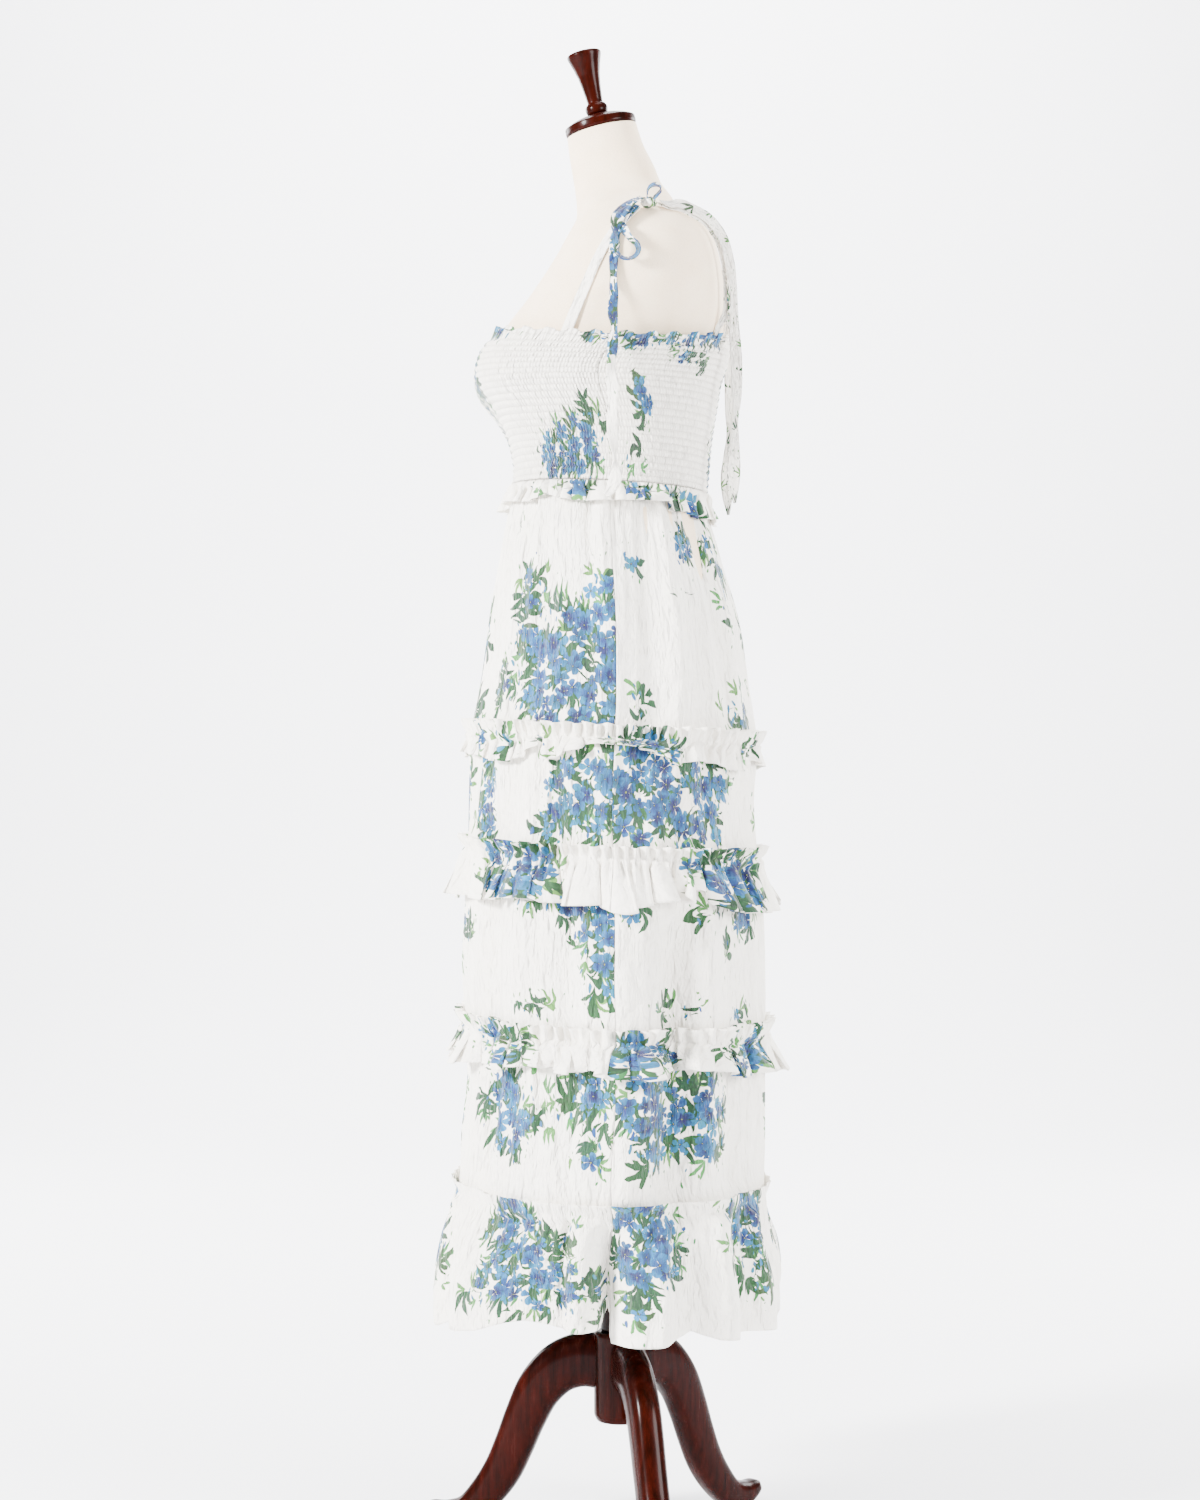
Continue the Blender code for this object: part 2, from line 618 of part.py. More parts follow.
def make_back_tail(name, finish, parent, mirrored):
    strap, strap_spreads = laid(BACK_STRAP)
    points, spreads = [], []
    for index in range(BACK_TAIL_ROWS_BESIDE):
        spread = strap_spreads[index]
        face = run_at(strap, index).cross(spread).normalized()
        if face.x < 0:
            face = -face
        if index == 0:
            face = form_slope(strap[0]).normalized()
        rise = spread if spread.dot(form_slope(strap[index])) > 0 else -spread
        points.append(strap[index] + face * TAIL_BESIDE + rise * (TAIL_ABOVE if index > 1 else 0.0))
        spreads.append(spread)
    hanging, hanging_spreads = laid(BACK_TAIL)
    widths = [row.width for row in BACK_STRAP[:BACK_TAIL_ROWS_BESIDE] + BACK_TAIL]
    return strip(name, points + hanging, widths, spreads + hanging_spreads, finish, parent, mirrored)


def make_long_loop(name, finish, parent, mirrored):
    out, out_spreads = laid(LOOP_OUT)
    back, back_spreads = laid(LOOP_BACK)
    ring, ring_spreads = [], []
    for degrees in RING_ANGLES:
        turn = math.radians(degrees)
        radial = Vector((0.0, math.cos(turn), math.sin(turn)))
        ring.append(Vector(RING_AT) + Vector((0.0, radial.y * RING_DEPTH, radial.z * RING_HEIGHT)))
        flare = math.radians(RING_FLARE)
        ring_spreads.append(Vector((math.cos(flare), 0.0, 0.0)) + radial * math.sin(flare))
    spreads = []
    for spread in out_spreads + ring_spreads + back_spreads:
        if spreads and spread.dot(spreads[-1]) < 0:
            spread = -spread
        spreads.append(spread)
    widths = [row.width for row in LOOP_OUT] + [RING_WIDTH] * len(ring) + [row.width for row in LOOP_BACK]
    return strip(name, out + ring + back, widths, spreads, finish, parent, mirrored)


def make_short_loop(name, finish, parent, mirrored):
    knot = seated(KNOT_AT, KNOT_LIFT)
    upward = form_slope(KNOT_AT).normalized()
    sideways = Vector((0.0, 1.0, 0.0)).cross(upward).normalized()
    forward = upward.cross(sideways)
    points = [knot + forward * along + upward * up for along, up in SHORT_LOOP]
    widths = [SHORT_LOOP_WIDTH] * len(points)
    return strip(name, points, widths, [sideways] * len(points), finish, parent, mirrored)


def make_knot(name, finish, parent, mirrored):
    mesh = bpy.data.meshes.new(name)
    bm = bmesh.new()
    bmesh.ops.create_uvsphere(bm, u_segments=12, v_segments=8, radius=1.0)
    upward = form_slope(KNOT_AT).normalized()
    sideways = Vector((0.0, 1.0, 0.0)).cross(upward).normalized()
    turn = Matrix((sideways, upward.cross(sideways), upward)).transposed()
    bmesh.ops.transform(bm, verts=bm.verts, matrix=(turn @ Matrix.Diagonal(KNOT_RADII)).to_4x4())
    bmesh.ops.translate(bm, verts=bm.verts, vec=seated(KNOT_AT, KNOT_LIFT))
    if mirrored:
        bmesh.ops.scale(bm, verts=bm.verts, vec=(-1.0, 1.0, 1.0))
        bmesh.ops.reverse_faces(bm, faces=bm.faces)
    bm.to_mesh(mesh)
    bm.free()
    return add_object(name, mesh, finish, parent)


def make_stand(stand, pole, wood, dark_wood, steel):
    for name, degrees in LEGS.items():
        make_leg(name, degrees, wood, stand)
    bore = TUBE_RADIUS + FORM_GAP
    turned("hub", ring_profile(HUB_RADIUS, bore, HUB_BOTTOM, HUB_TOP, HUB_EDGE), wood, stand)
    collar_bottom = HUB_TOP + SEAM_GAP
    collar = ring_profile(COLLAR_RADIUS, bore, collar_bottom, COLLAR_TOP, SMALL_EDGE)
    turned("collar", collar, dark_wood, stand)
    inside = POLE_RADIUS + POLE_PLAY
    tube = ring_profile(TUBE_RADIUS, inside, TUBE_BOTTOM, TUBE_TOP, TUBE_EDGE)
    turned("stand_tube", tube, steel, stand)
    pole_top = FORM_BOTTOM + SOCKET_DEPTH - POLE_PLAY
    turned("pole", solid_profile([(POLE_RADIUS, pole_top), (POLE_RADIUS, POLE_BOTTOM)]), steel, pole)


def make_form(form, linen, wood):
    rings = [ring(section, FORM_COLUMNS, False) for section in FORM]
    torso = loft("form_torso", rings, linen, form)
    inside = POLE_RADIUS + POLE_PLAY
    socket = [(inside, FORM_BOTTOM + SOCKET_DEPTH), (inside, FORM_BOTTOM - SOCKET_DEPTH)]
    cut(torso, turned("socket", solid_profile(socket), linen, form))
    lean = Matrix.Translation(CAP_AT) @ Matrix.Rotation(CAP_LEAN, 4, "X")
    cap = turned("neck_cap", solid_profile(CAP_PROFILE), wood, form)
    cap.matrix_local = lean
    finial = turned("finial", solid_profile(FINIAL_PROFILE), wood, form)
    finial.matrix_local = lean @ Matrix.Translation((0.0, 0.0, CAP_TOP + FORM_GAP))


def make_dress(form, cloth):
    front_and_back("bodice", table_rings(BODICE, BODICE[0].z, BODICE[-1].z), cloth, form)
    front_and_back("waist_frill", lifted_rings(SKIRT, WAIST, WAIST_FRILL), cloth, form)
    seams = [WAIST, SEAM_1, SEAM_2, SEAM_3, SEAM_4]
    for number, (top, bottom) in enumerate(zip(seams, seams[1:]), 1):
        rings = table_rings(SKIRT, top, bottom)
        if number > 1:
            rings[0] = lowered(rings[0], SEAM_GAP)
        front_and_back("tier_%d" % number, rings, cloth, form)
    below = [section for section in SKIRT if section.z < SEAM_4]
    flounce = lifted_rings(SKIRT, SEAM_4, FLOUNCE_TOP) + table_rings(below, SEAM_4, HEM)
    front_and_back("tier_5", flounce, cloth, form)
    for number, (seam, lifts) in enumerate(((SEAM_1, RUFFLE_1), (SEAM_2, RUFFLE_2), (SEAM_3, RUFFLE_3)), 1):
        front_and_back("ruffle_%d" % number, lifted_rings(SKIRT, seam, lifts), cloth, form)


def make_ties(form, cloth):
    for side, mirrored in (("left", False), ("right", True)):
        make_tie("strap_front_" + side, FRONT_STRAP, cloth, form, mirrored)
        make_tie("strap_back_" + side, BACK_STRAP, cloth, form, mirrored)
        make_knot("knot_" + side, cloth, form, mirrored)
        make_short_loop("loop_short_" + side, cloth, form, mirrored)
        make_long_loop("loop_long_" + side, cloth, form, mirrored)
        make_tie("tail_front_" + side, FRONT_TAIL, cloth, form, mirrored)
        make_back_tail("tail_back_" + side, cloth, form, mirrored)


def collection(name):
    made = bpy.data.collections.new(name)
    bpy.context.scene.collection.children.link(made)
    return made


def axis_empty(name):
    made = bpy.data.objects.new(name, None)
    parts.objects.link(made)
    made.location = POLE_AT
    return made


for old in list(bpy.data.objects):
    bpy.data.objects.remove(old, do_unlink=True)

parts = collection("maxi_dress_on_dress_form")
cutters = collection("cutters")
FORM = form_sections()

cloth = material("printed_cloth", (0.80, 0.84, 0.88), 0.85)
linen = material("linen", (0.78, 0.72, 0.62), 0.9)
wood = material("dark_wood", (0.13, 0.035, 0.02), 0.25)
dark_wood = material("dark_wood_collar", (0.06, 0.02, 0.012), 0.35)
steel = material("steel", (0.55, 0.55, 0.56), 0.35, 1.0)

stand = axis_empty("stand_axis")
pole = axis_empty("pole_axis")
form = axis_empty("form_axis")
make_stand(stand, pole, wood, dark_wood, steel)
make_form(form, linen, wood)
make_dress(form, cloth)
make_ties(form, cloth)
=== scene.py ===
"""The looks of a tiered, printed maxi dress on a linen dress form with a dark wood stand.

Metres, +Z up. The dress faces -Y and its wearer's left is +X. Angles round the wearer are in degrees,
0 in front, 90 at the left side and 180 behind.
"""

import math
from collections import namedtuple

import bmesh
import bpy
import numpy as np
from mathutils import Matrix, Vector


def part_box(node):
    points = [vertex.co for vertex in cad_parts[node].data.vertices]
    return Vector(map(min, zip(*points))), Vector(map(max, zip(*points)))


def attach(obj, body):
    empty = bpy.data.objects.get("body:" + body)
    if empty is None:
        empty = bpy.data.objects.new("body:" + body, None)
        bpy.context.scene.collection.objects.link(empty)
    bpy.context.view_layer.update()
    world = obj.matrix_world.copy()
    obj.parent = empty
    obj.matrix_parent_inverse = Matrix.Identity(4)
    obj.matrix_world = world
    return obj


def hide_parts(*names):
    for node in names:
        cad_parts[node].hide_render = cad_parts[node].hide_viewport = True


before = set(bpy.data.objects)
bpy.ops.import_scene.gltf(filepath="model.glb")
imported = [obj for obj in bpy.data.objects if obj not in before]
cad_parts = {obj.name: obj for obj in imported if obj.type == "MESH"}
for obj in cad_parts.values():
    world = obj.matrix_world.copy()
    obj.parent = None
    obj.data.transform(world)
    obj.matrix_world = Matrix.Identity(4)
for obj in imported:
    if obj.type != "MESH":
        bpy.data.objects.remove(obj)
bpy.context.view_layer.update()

pole_low, pole_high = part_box("pole")
POLE = np.array([(pole_low[0] + pole_high[0]) / 2, (pole_low[1] + pole_high[1]) / 2, 0.0])

# Heights of the seams that run round the dress
WAIST = 1.2000
SEAM_1 = 0.9160
SEAM_2 = 0.7860
SEAM_3 = 0.5865
SEAM_4 = 0.4000
HEM = 0.2550
CLOTH_THICKNESS = 0.0006
TIE_THICKNESS = 0.0009
STITCH_LIFT = 0.0016

# Level sections: height, reach to the front and back, half width, fullness of the outline, rise towards
# the back and drop at the sides
DRESS = np.array([
    (1.3765, -0.1405, 0.1270, 0.1735, 2.18, -0.035, 0.017),
    (1.3640, -0.1490, 0.1245, 0.1690, 2.18, -0.032, 0.015),
    (1.3530, -0.1580, 0.1230, 0.1670, 2.18, -0.028, 0.012),
    (1.3400, -0.1633, 0.1196, 0.1660, 2.18, -0.024, 0.008),
    (1.3250, -0.1656, 0.1146, 0.1650, 2.18, -0.020, 0.004),
    (1.3055, -0.1610, 0.1116, 0.1620, 2.18, -0.016, 0.0),
    (1.2825, -0.1438, 0.1075, 0.1560, 2.17, -0.024, 0.0),
    (1.2595, -0.1300, 0.1041, 0.1500, 2.16, -0.032, 0.0),
    (1.2365, -0.1231, 0.1018, 0.1460, 2.15, -0.040, 0.0),
    (1.2190, -0.1208, 0.1004, 0.1435, 2.15, -0.046, 0.0),
    (1.2000, -0.1230, 0.0993, 0.1420, 2.15, -0.050, 0.0),
    (1.1840, -0.1265, 0.1012, 0.1470, 2.15, -0.050, 0.0),
    (1.1300, -0.1370, 0.1160, 0.1620, 2.12, -0.050, 0.0),
    (1.0600, -0.1495, 0.1370, 0.1780, 2.10, -0.048, 0.0),
    (0.9880, -0.1590, 0.1480, 0.1920, 2.08, -0.046, 0.0),
    (0.9160, -0.1714, 0.1576, 0.2030, 2.05, -0.045, 0.0),
    (0.8520, -0.1737, 0.1540, 0.2070, 2.05, -0.043, 0.0),
    (0.7860, -0.1748, 0.1580, 0.2090, 2.05, -0.040, 0.0),
    (0.7200, -0.1771, 0.1633, 0.2120, 2.05, -0.037, 0.0),
    (0.6550, -0.1805, 0.1650, 0.2160, 2.05, -0.033, 0.0),
    (0.5865, -0.1770, 0.1655, 0.2180, 2.05, -0.030, 0.0),
    (0.5250, -0.1755, 0.1668, 0.2200, 2.05, -0.025, 0.0),
    (0.4630, -0.1820, 0.1664, 0.2230, 2.05, -0.020, 0.0),
    (0.4000, -0.1860, 0.1658, 0.2260, 2.05, -0.014, 0.0),
    (0.3600, -0.1978, 0.1705, 0.2360, 2.05, -0.010, 0.0),
    (0.3100, -0.2080, 0.1825, 0.2470, 2.05, -0.005, 0.0),
    (0.2550, -0.2120, 0.1865, 0.2520, 2.05, 0.000, 0.0),
    (0.2350, -0.2110, 0.1860, 0.2520, 2.05, 0.000, 0.0),
])
FORM = np.array([
    (1.6143, -0.0605, 0.0185, 0.0395, 2.00, 0.235, 0.0),
    (1.5900, -0.0575, 0.0268, 0.0425, 2.00, 0.200, 0.0),
    (1.5650, -0.0535, 0.0400, 0.0460, 2.00, 0.150, 0.0),
    (1.5480, -0.0512, 0.0480, 0.0530, 2.00, 0.100, 0.0),
    (1.5360, -0.0500, 0.0585, 0.0680, 2.00, 0.050, 0.0),
    (1.5260, -0.0495, 0.0655, 0.0880, 2.05, 0.020, 0.0),
    (1.5170, -0.0495, 0.0750, 0.1080, 2.10, 0.0, 0.0),
    (1.5080, -0.0512, 0.0890, 0.1250, 2.15, 0.0, 0.0),
    (1.4980, -0.0560, 0.0990, 0.1410, 2.20, 0.0, 0.0),
    (1.4850, -0.0630, 0.1075, 0.1560, 2.25, 0.0, 0.0),
    (1.4660, -0.0730, 0.1135, 0.1680, 2.30, 0.0, 0.0),
    (1.4420, -0.0880, 0.1175, 0.1750, 2.30, 0.0, 0.0),
    (1.4120, -0.1090, 0.1195, 0.1740, 2.30, 0.0, 0.0),
    (1.3850, -0.1305, 0.1185, 0.1660, 2.30, 0.0, 0.0),
    (1.3640, -0.1420, 0.1175, 0.1620, 2.18, 0.0, 0.0),
    (1.3400, -0.1563, 0.1126, 0.1590, 2.18, 0.0, 0.0),
    (1.3250, -0.1586, 0.1076, 0.1580, 2.18, 0.0, 0.0),
    (1.3055, -0.1540, 0.1046, 0.1550, 2.18, 0.0, 0.0),
    (1.2825, -0.1368, 0.1005, 0.1490, 2.17, 0.0, 0.0),
    (1.2595, -0.1230, 0.0971, 0.1430, 2.16, 0.0, 0.0),
    (1.2190, -0.1138, 0.0934, 0.1365, 2.15, 0.0, 0.0),
    (1.1500, -0.1180, 0.1020, 0.1500, 2.20, 0.0, 0.0),
    (1.0800, -0.1270, 0.1160, 0.1620, 2.20, 0.0, 0.0),
    (1.0000, -0.1290, 0.1200, 0.1680, 2.20, 0.0, 0.0),
    (0.9400, -0.1250, 0.1150, 0.1650, 2.20, 0.0, 0.0),
    (0.9300, -0.1190, 0.1090, 0.1590, 2.20, 0.0, 0.0),
])

# Large folds: start angle, end angle, half width, depth (a valley is negative), top and bottom
FOLDS = np.array([
    (36, 36, 22, 0.012, 1.46, 1.20), (-36, -36, 22, 0.012, 1.46, 1.20),
    (22, 25, 9, -0.007, 1.19, 0.80), (55, 50, 9, -0.008, 1.19, 0.80),
    (103, 106, 9, -0.010, 1.19, 0.80), (132, 128, 9, -0.008, 1.19, 0.80),
    (161, 164, 9, -0.007, 1.19, 0.80), (39, 31, 8, -0.016, 0.92, 0.35),
    (73, 70, 8, -0.010, 0.90, 0.38), (114, 114, 8, -0.026, 0.82, 0.34),
    (92, 94, 10, 0.008, 0.80, 0.36), (145, 147, 8, -0.015, 0.88, 0.34),
    (20, 24, 9, -0.018, 0.42, 0.05), (66, 71, 8, -0.020, 0.42, 0.05),
    (89, 88, 7, -0.045, 0.43, 0.05), (117, 117, 8, -0.020, 0.42, 0.05),
    (144, 143, 8, -0.018, 0.42, 0.05), (-18, -20, 9, -0.008, 1.19, 0.80),
    (-58, -52, 9, -0.009, 1.19, 0.80), (-98, -95, 9, -0.009, 1.19, 0.80),
    (-138, -134, 9, -0.008, 1.19, 0.80), (-34, -38, 8, -0.015, 0.92, 0.35),
    (-77, -80, 8, -0.020, 0.86, 0.35), (-121, -117, 8, -0.018, 0.90, 0.35),
    (-160, -157, 8, -0.013, 0.90, 0.35), (-24, -19, 9, -0.017, 0.42, 0.05),
    (-60, -64, 8, -0.024, 0.42, 0.05), (-101, -98, 8, -0.034, 0.42, 0.05),
    (-140, -146, 8, -0.020, 0.42, 0.05), (178, 175, 8, -0.016, 0.42, 0.05),
])
FADE_IN = 0.35
FADE_OUT = 0.25
ANY_PHASE = (0.0, 6.28)


def linear(red, green, blue):
    """A colour seen on a screen, 0 to 255, as linear light."""
    values = np.array([red, green, blue]) / 255.0
    values = np.where(values <= 0.04045, values / 12.92, ((values + 0.055) / 1.055) ** 2.4)
    return (*[float(value) for value in values], 1.0)


def smoothstep(value):
    value = np.clip(value, 0.0, 1.0)
    return value * value * (3.0 - 2.0 * value)


def curve(xs, ys, x):
    """A smooth curve through points with xs rising, read at x."""
    slopes = np.gradient(ys, xs)
    index = np.clip(np.searchsorted(xs, x) - 1, 0, len(xs) - 2)
    step = xs[index + 1] - xs[index]
    t = np.clip((x - xs[index]) / step, 0.0, 1.0)
    keep = (1 + 2 * t) * (1 - t) ** 2
    return (
        keep * ys[index] + (1 - keep) * ys[index + 1]
        + step * (t * (1 - t) ** 2 * slopes[index] - t * t * (1 - t) * slopes[index + 1])
    )


def sections(table, z):
    """The table's columns after the height, at each height."""
    rows = table[::-1]
    return [curve(rows[:, 0], rows[:, column], z) for column in range(1, table.shape[1])]


def apart(angle, other):
    return (angle - other + 180.0) % 360.0 - 180.0


def big_folds(angle, z):
    total = np.zeros(np.broadcast(angle, z).shape)
    for start, end, half_width, depth, top, bottom in FOLDS:
        along = (top - z) / (top - bottom)
        middle = start + (end - start) * along
        strength = smoothstep(along / FADE_IN) * smoothstep((1.0 - along) / FADE_OUT)
        total = total + depth * strength * np.exp(-((apart(angle, middle) / half_width) ** 2))
    return total


class Gathers:
    """Small folds that start at a seam and die out below it, uneven in place, depth and length."""

    def __init__(self, seed, top, count, depth, length, width, rest):
        draw = np.random.default_rng(seed)
        self.top = top
        step = 360.0 / count
        self.angle = step * (np.arange(count) + draw.uniform(-0.36, 0.36, count))
        self.drift = draw.normal(0.0, 1.6, count)
        self.depth = depth * draw.uniform(0.35, 1.25, count) * np.where(draw.random(count) < 0.3, -0.7, 1.0)
        self.length = length * draw.uniform(0.45, 1.7, count)
        self.width = width * draw.uniform(0.7, 1.4, count)
        self.rest = rest * draw.random(count)

    def __call__(self, angle, z):
        below = self.top - z
        total = np.zeros(np.broadcast(angle, z).shape)
        for k in range(len(self.angle)):
            left = np.exp(-np.clip(below, 0.0, None) / self.length[k])
            spread = self.width[k] * (1.0 + 0.8 * (1.0 - left))
            middle = self.angle[k] + self.drift[k] * below / 0.2
            strength = self.rest[k] + (1.0 - self.rest[k]) * left
            total = total + self.depth[k] * strength * np.exp(-((apart(angle, middle) / spread) ** 2))
        return total


def surface(table, angle, z, folds):
    """Points round a body at each row's height and each column's angle, with its level outward normals.

    angle is one row of columns and z one column of rows. The folds move the outline out, and then each
    row is brought back to the section's own front and back.
    """
    front, back, wide, square, slope, dip = [column[:, None] for column in sections(table, z)]
    middle = (front + back) / 2
    half = (back - front) / 2

    def outline(angles):
        radians = np.radians(angles)[None, :]
        across = np.sign(np.sin(radians)) * np.abs(np.sin(radians)) ** (2 / square)
        along = -np.sign(np.cos(radians)) * np.abs(np.cos(radians)) ** (2 / square)
        out_x = across / wide
        out_y = along / half
        size = np.hypot(out_x, out_y)
        out = folds(angles[None, :], z[:, None]) if folds else 0.0
        return across * wide + out_x / size * out, along * half + out_y / size * out

    _, around = outline(np.arange(0.0, 360.0, 1.0))
    x, y = outline(angle)
    nearest = around.min(axis=1, keepdims=True)
    furthest = around.max(axis=1, keepdims=True)
    y = front + (y - nearest) * (back - front) / (furthest - nearest)
    height = z[:, None] + slope * (y - middle) - dip * (x / wide) ** 2
    points = np.stack([x, y, height + 0.0 * x], axis=-1)
    run = np.gradient(points, axis=1)
    normals = np.stack([run[..., 1], -run[..., 0], 0.0 * run[..., 0]], axis=-1)
    normals /= np.linalg.norm(normals, axis=-1, keepdims=True)
    return points, normals


# Meshes

LATHE_STEPS = 96
SHARP = math.radians(50)


def grid_object(name, points, values=None, closed=False, thickness=0.0, offset=-1.0):
    """A mesh through a grid of points, with named three-number values at its vertices."""
    rows, columns = points.shape[:2]
    mesh = bpy.data.meshes.new(name)
    corner = np.arange(rows * columns).reshape(rows, columns)
    if closed:
        corner = np.concatenate([corner, corner[:, :1]], axis=1)
    quads = np.stack([corner[:-1, :-1], corner[1:, :-1], corner[1:, 1:], corner[:-1, 1:]], axis=-1)
    quads = quads.reshape(-1, 4)
    mesh.vertices.add(rows * columns)
    mesh.vertices.foreach_set("co", (points.reshape(-1, 3) + POLE).astype("f").ravel())
    mesh.loops.add(quads.size)
    mesh.loops.foreach_set("vertex_index", quads.astype("i").ravel())
    mesh.polygons.add(len(quads))
    mesh.polygons.foreach_set("loop_start", np.arange(0, quads.size, 4, dtype="i"))
    mesh.polygons.foreach_set("loop_total", np.full(len(quads), 4, dtype="i"))
    mesh.update(calc_edges=True)
    mesh.validate()
    mesh.shade_smooth()
    for key, array in (values or {}).items():
        layer = mesh.attributes.new(key, "FLOAT_VECTOR", "POINT")
        layer.data.foreach_set("vector", array.reshape(-1, 3).astype("f").ravel())
    made = bpy.data.objects.new(name, mesh)
    bpy.context.scene.collection.objects.link(made)
    if thickness:
        solidify = made.modifiers.new("thickness", "SOLIDIFY")
        solidify.thickness = thickness
        solidify.offset = offset
    return made


def capped(made):
    """Closes the open ends of a tube."""
    bm = bmesh.new()
    bm.from_mesh(made.data)
    bmesh.ops.holes_fill(bm, edges=[edge for edge in bm.edges if edge.is_boundary])
    bmesh.ops.recalc_face_normals(bm, faces=bm.faces)
    bm.to_mesh(made.data)
    bm.free()
    return made


def lathe(name, profile):
    """A turned solid from its radii and heights, down its outer side, about the pole's axis."""
    turn = np.radians(np.arange(LATHE_STEPS) * 360.0 / LATHE_STEPS)
    rings = [np.stack([r * np.sin(turn), -r * np.cos(turn), 0 * turn + h], axis=-1) for r, h in profile]
    made = capped(grid_object(name, np.array(rings), closed=True))
    made.data.set_sharp_from_angle(angle=SHARP)
    return made


def rounded(profile, corner):
    """The profile with each of its inner corners rounded over a short length."""
    points = [np.array(profile[0], float)]
    for before, here, after in zip(profile, profile[1:], profile[2:]):
        before, here, after = (np.array(point, float) for point in (before, here, after))
        reach_in = min(corner, np.linalg.norm(here - before) * 0.45)
        reach_out = min(corner, np.linalg.norm(after - here) * 0.45)
        start = here + (before - here) / max(np.linalg.norm(before - here), 1e-9) * reach_in
        end = here + (after - here) / max(np.linalg.norm(after - here), 1e-9) * reach_out
        for t in np.linspace(0.0, 1.0, 6):
            points.append((1 - t) ** 2 * start + 2 * t * (1 - t) * here + t * t * end)
    points.append(np.array(profile[-1], float))
    return points


# Printed cloth: where its flowers and leaves gather

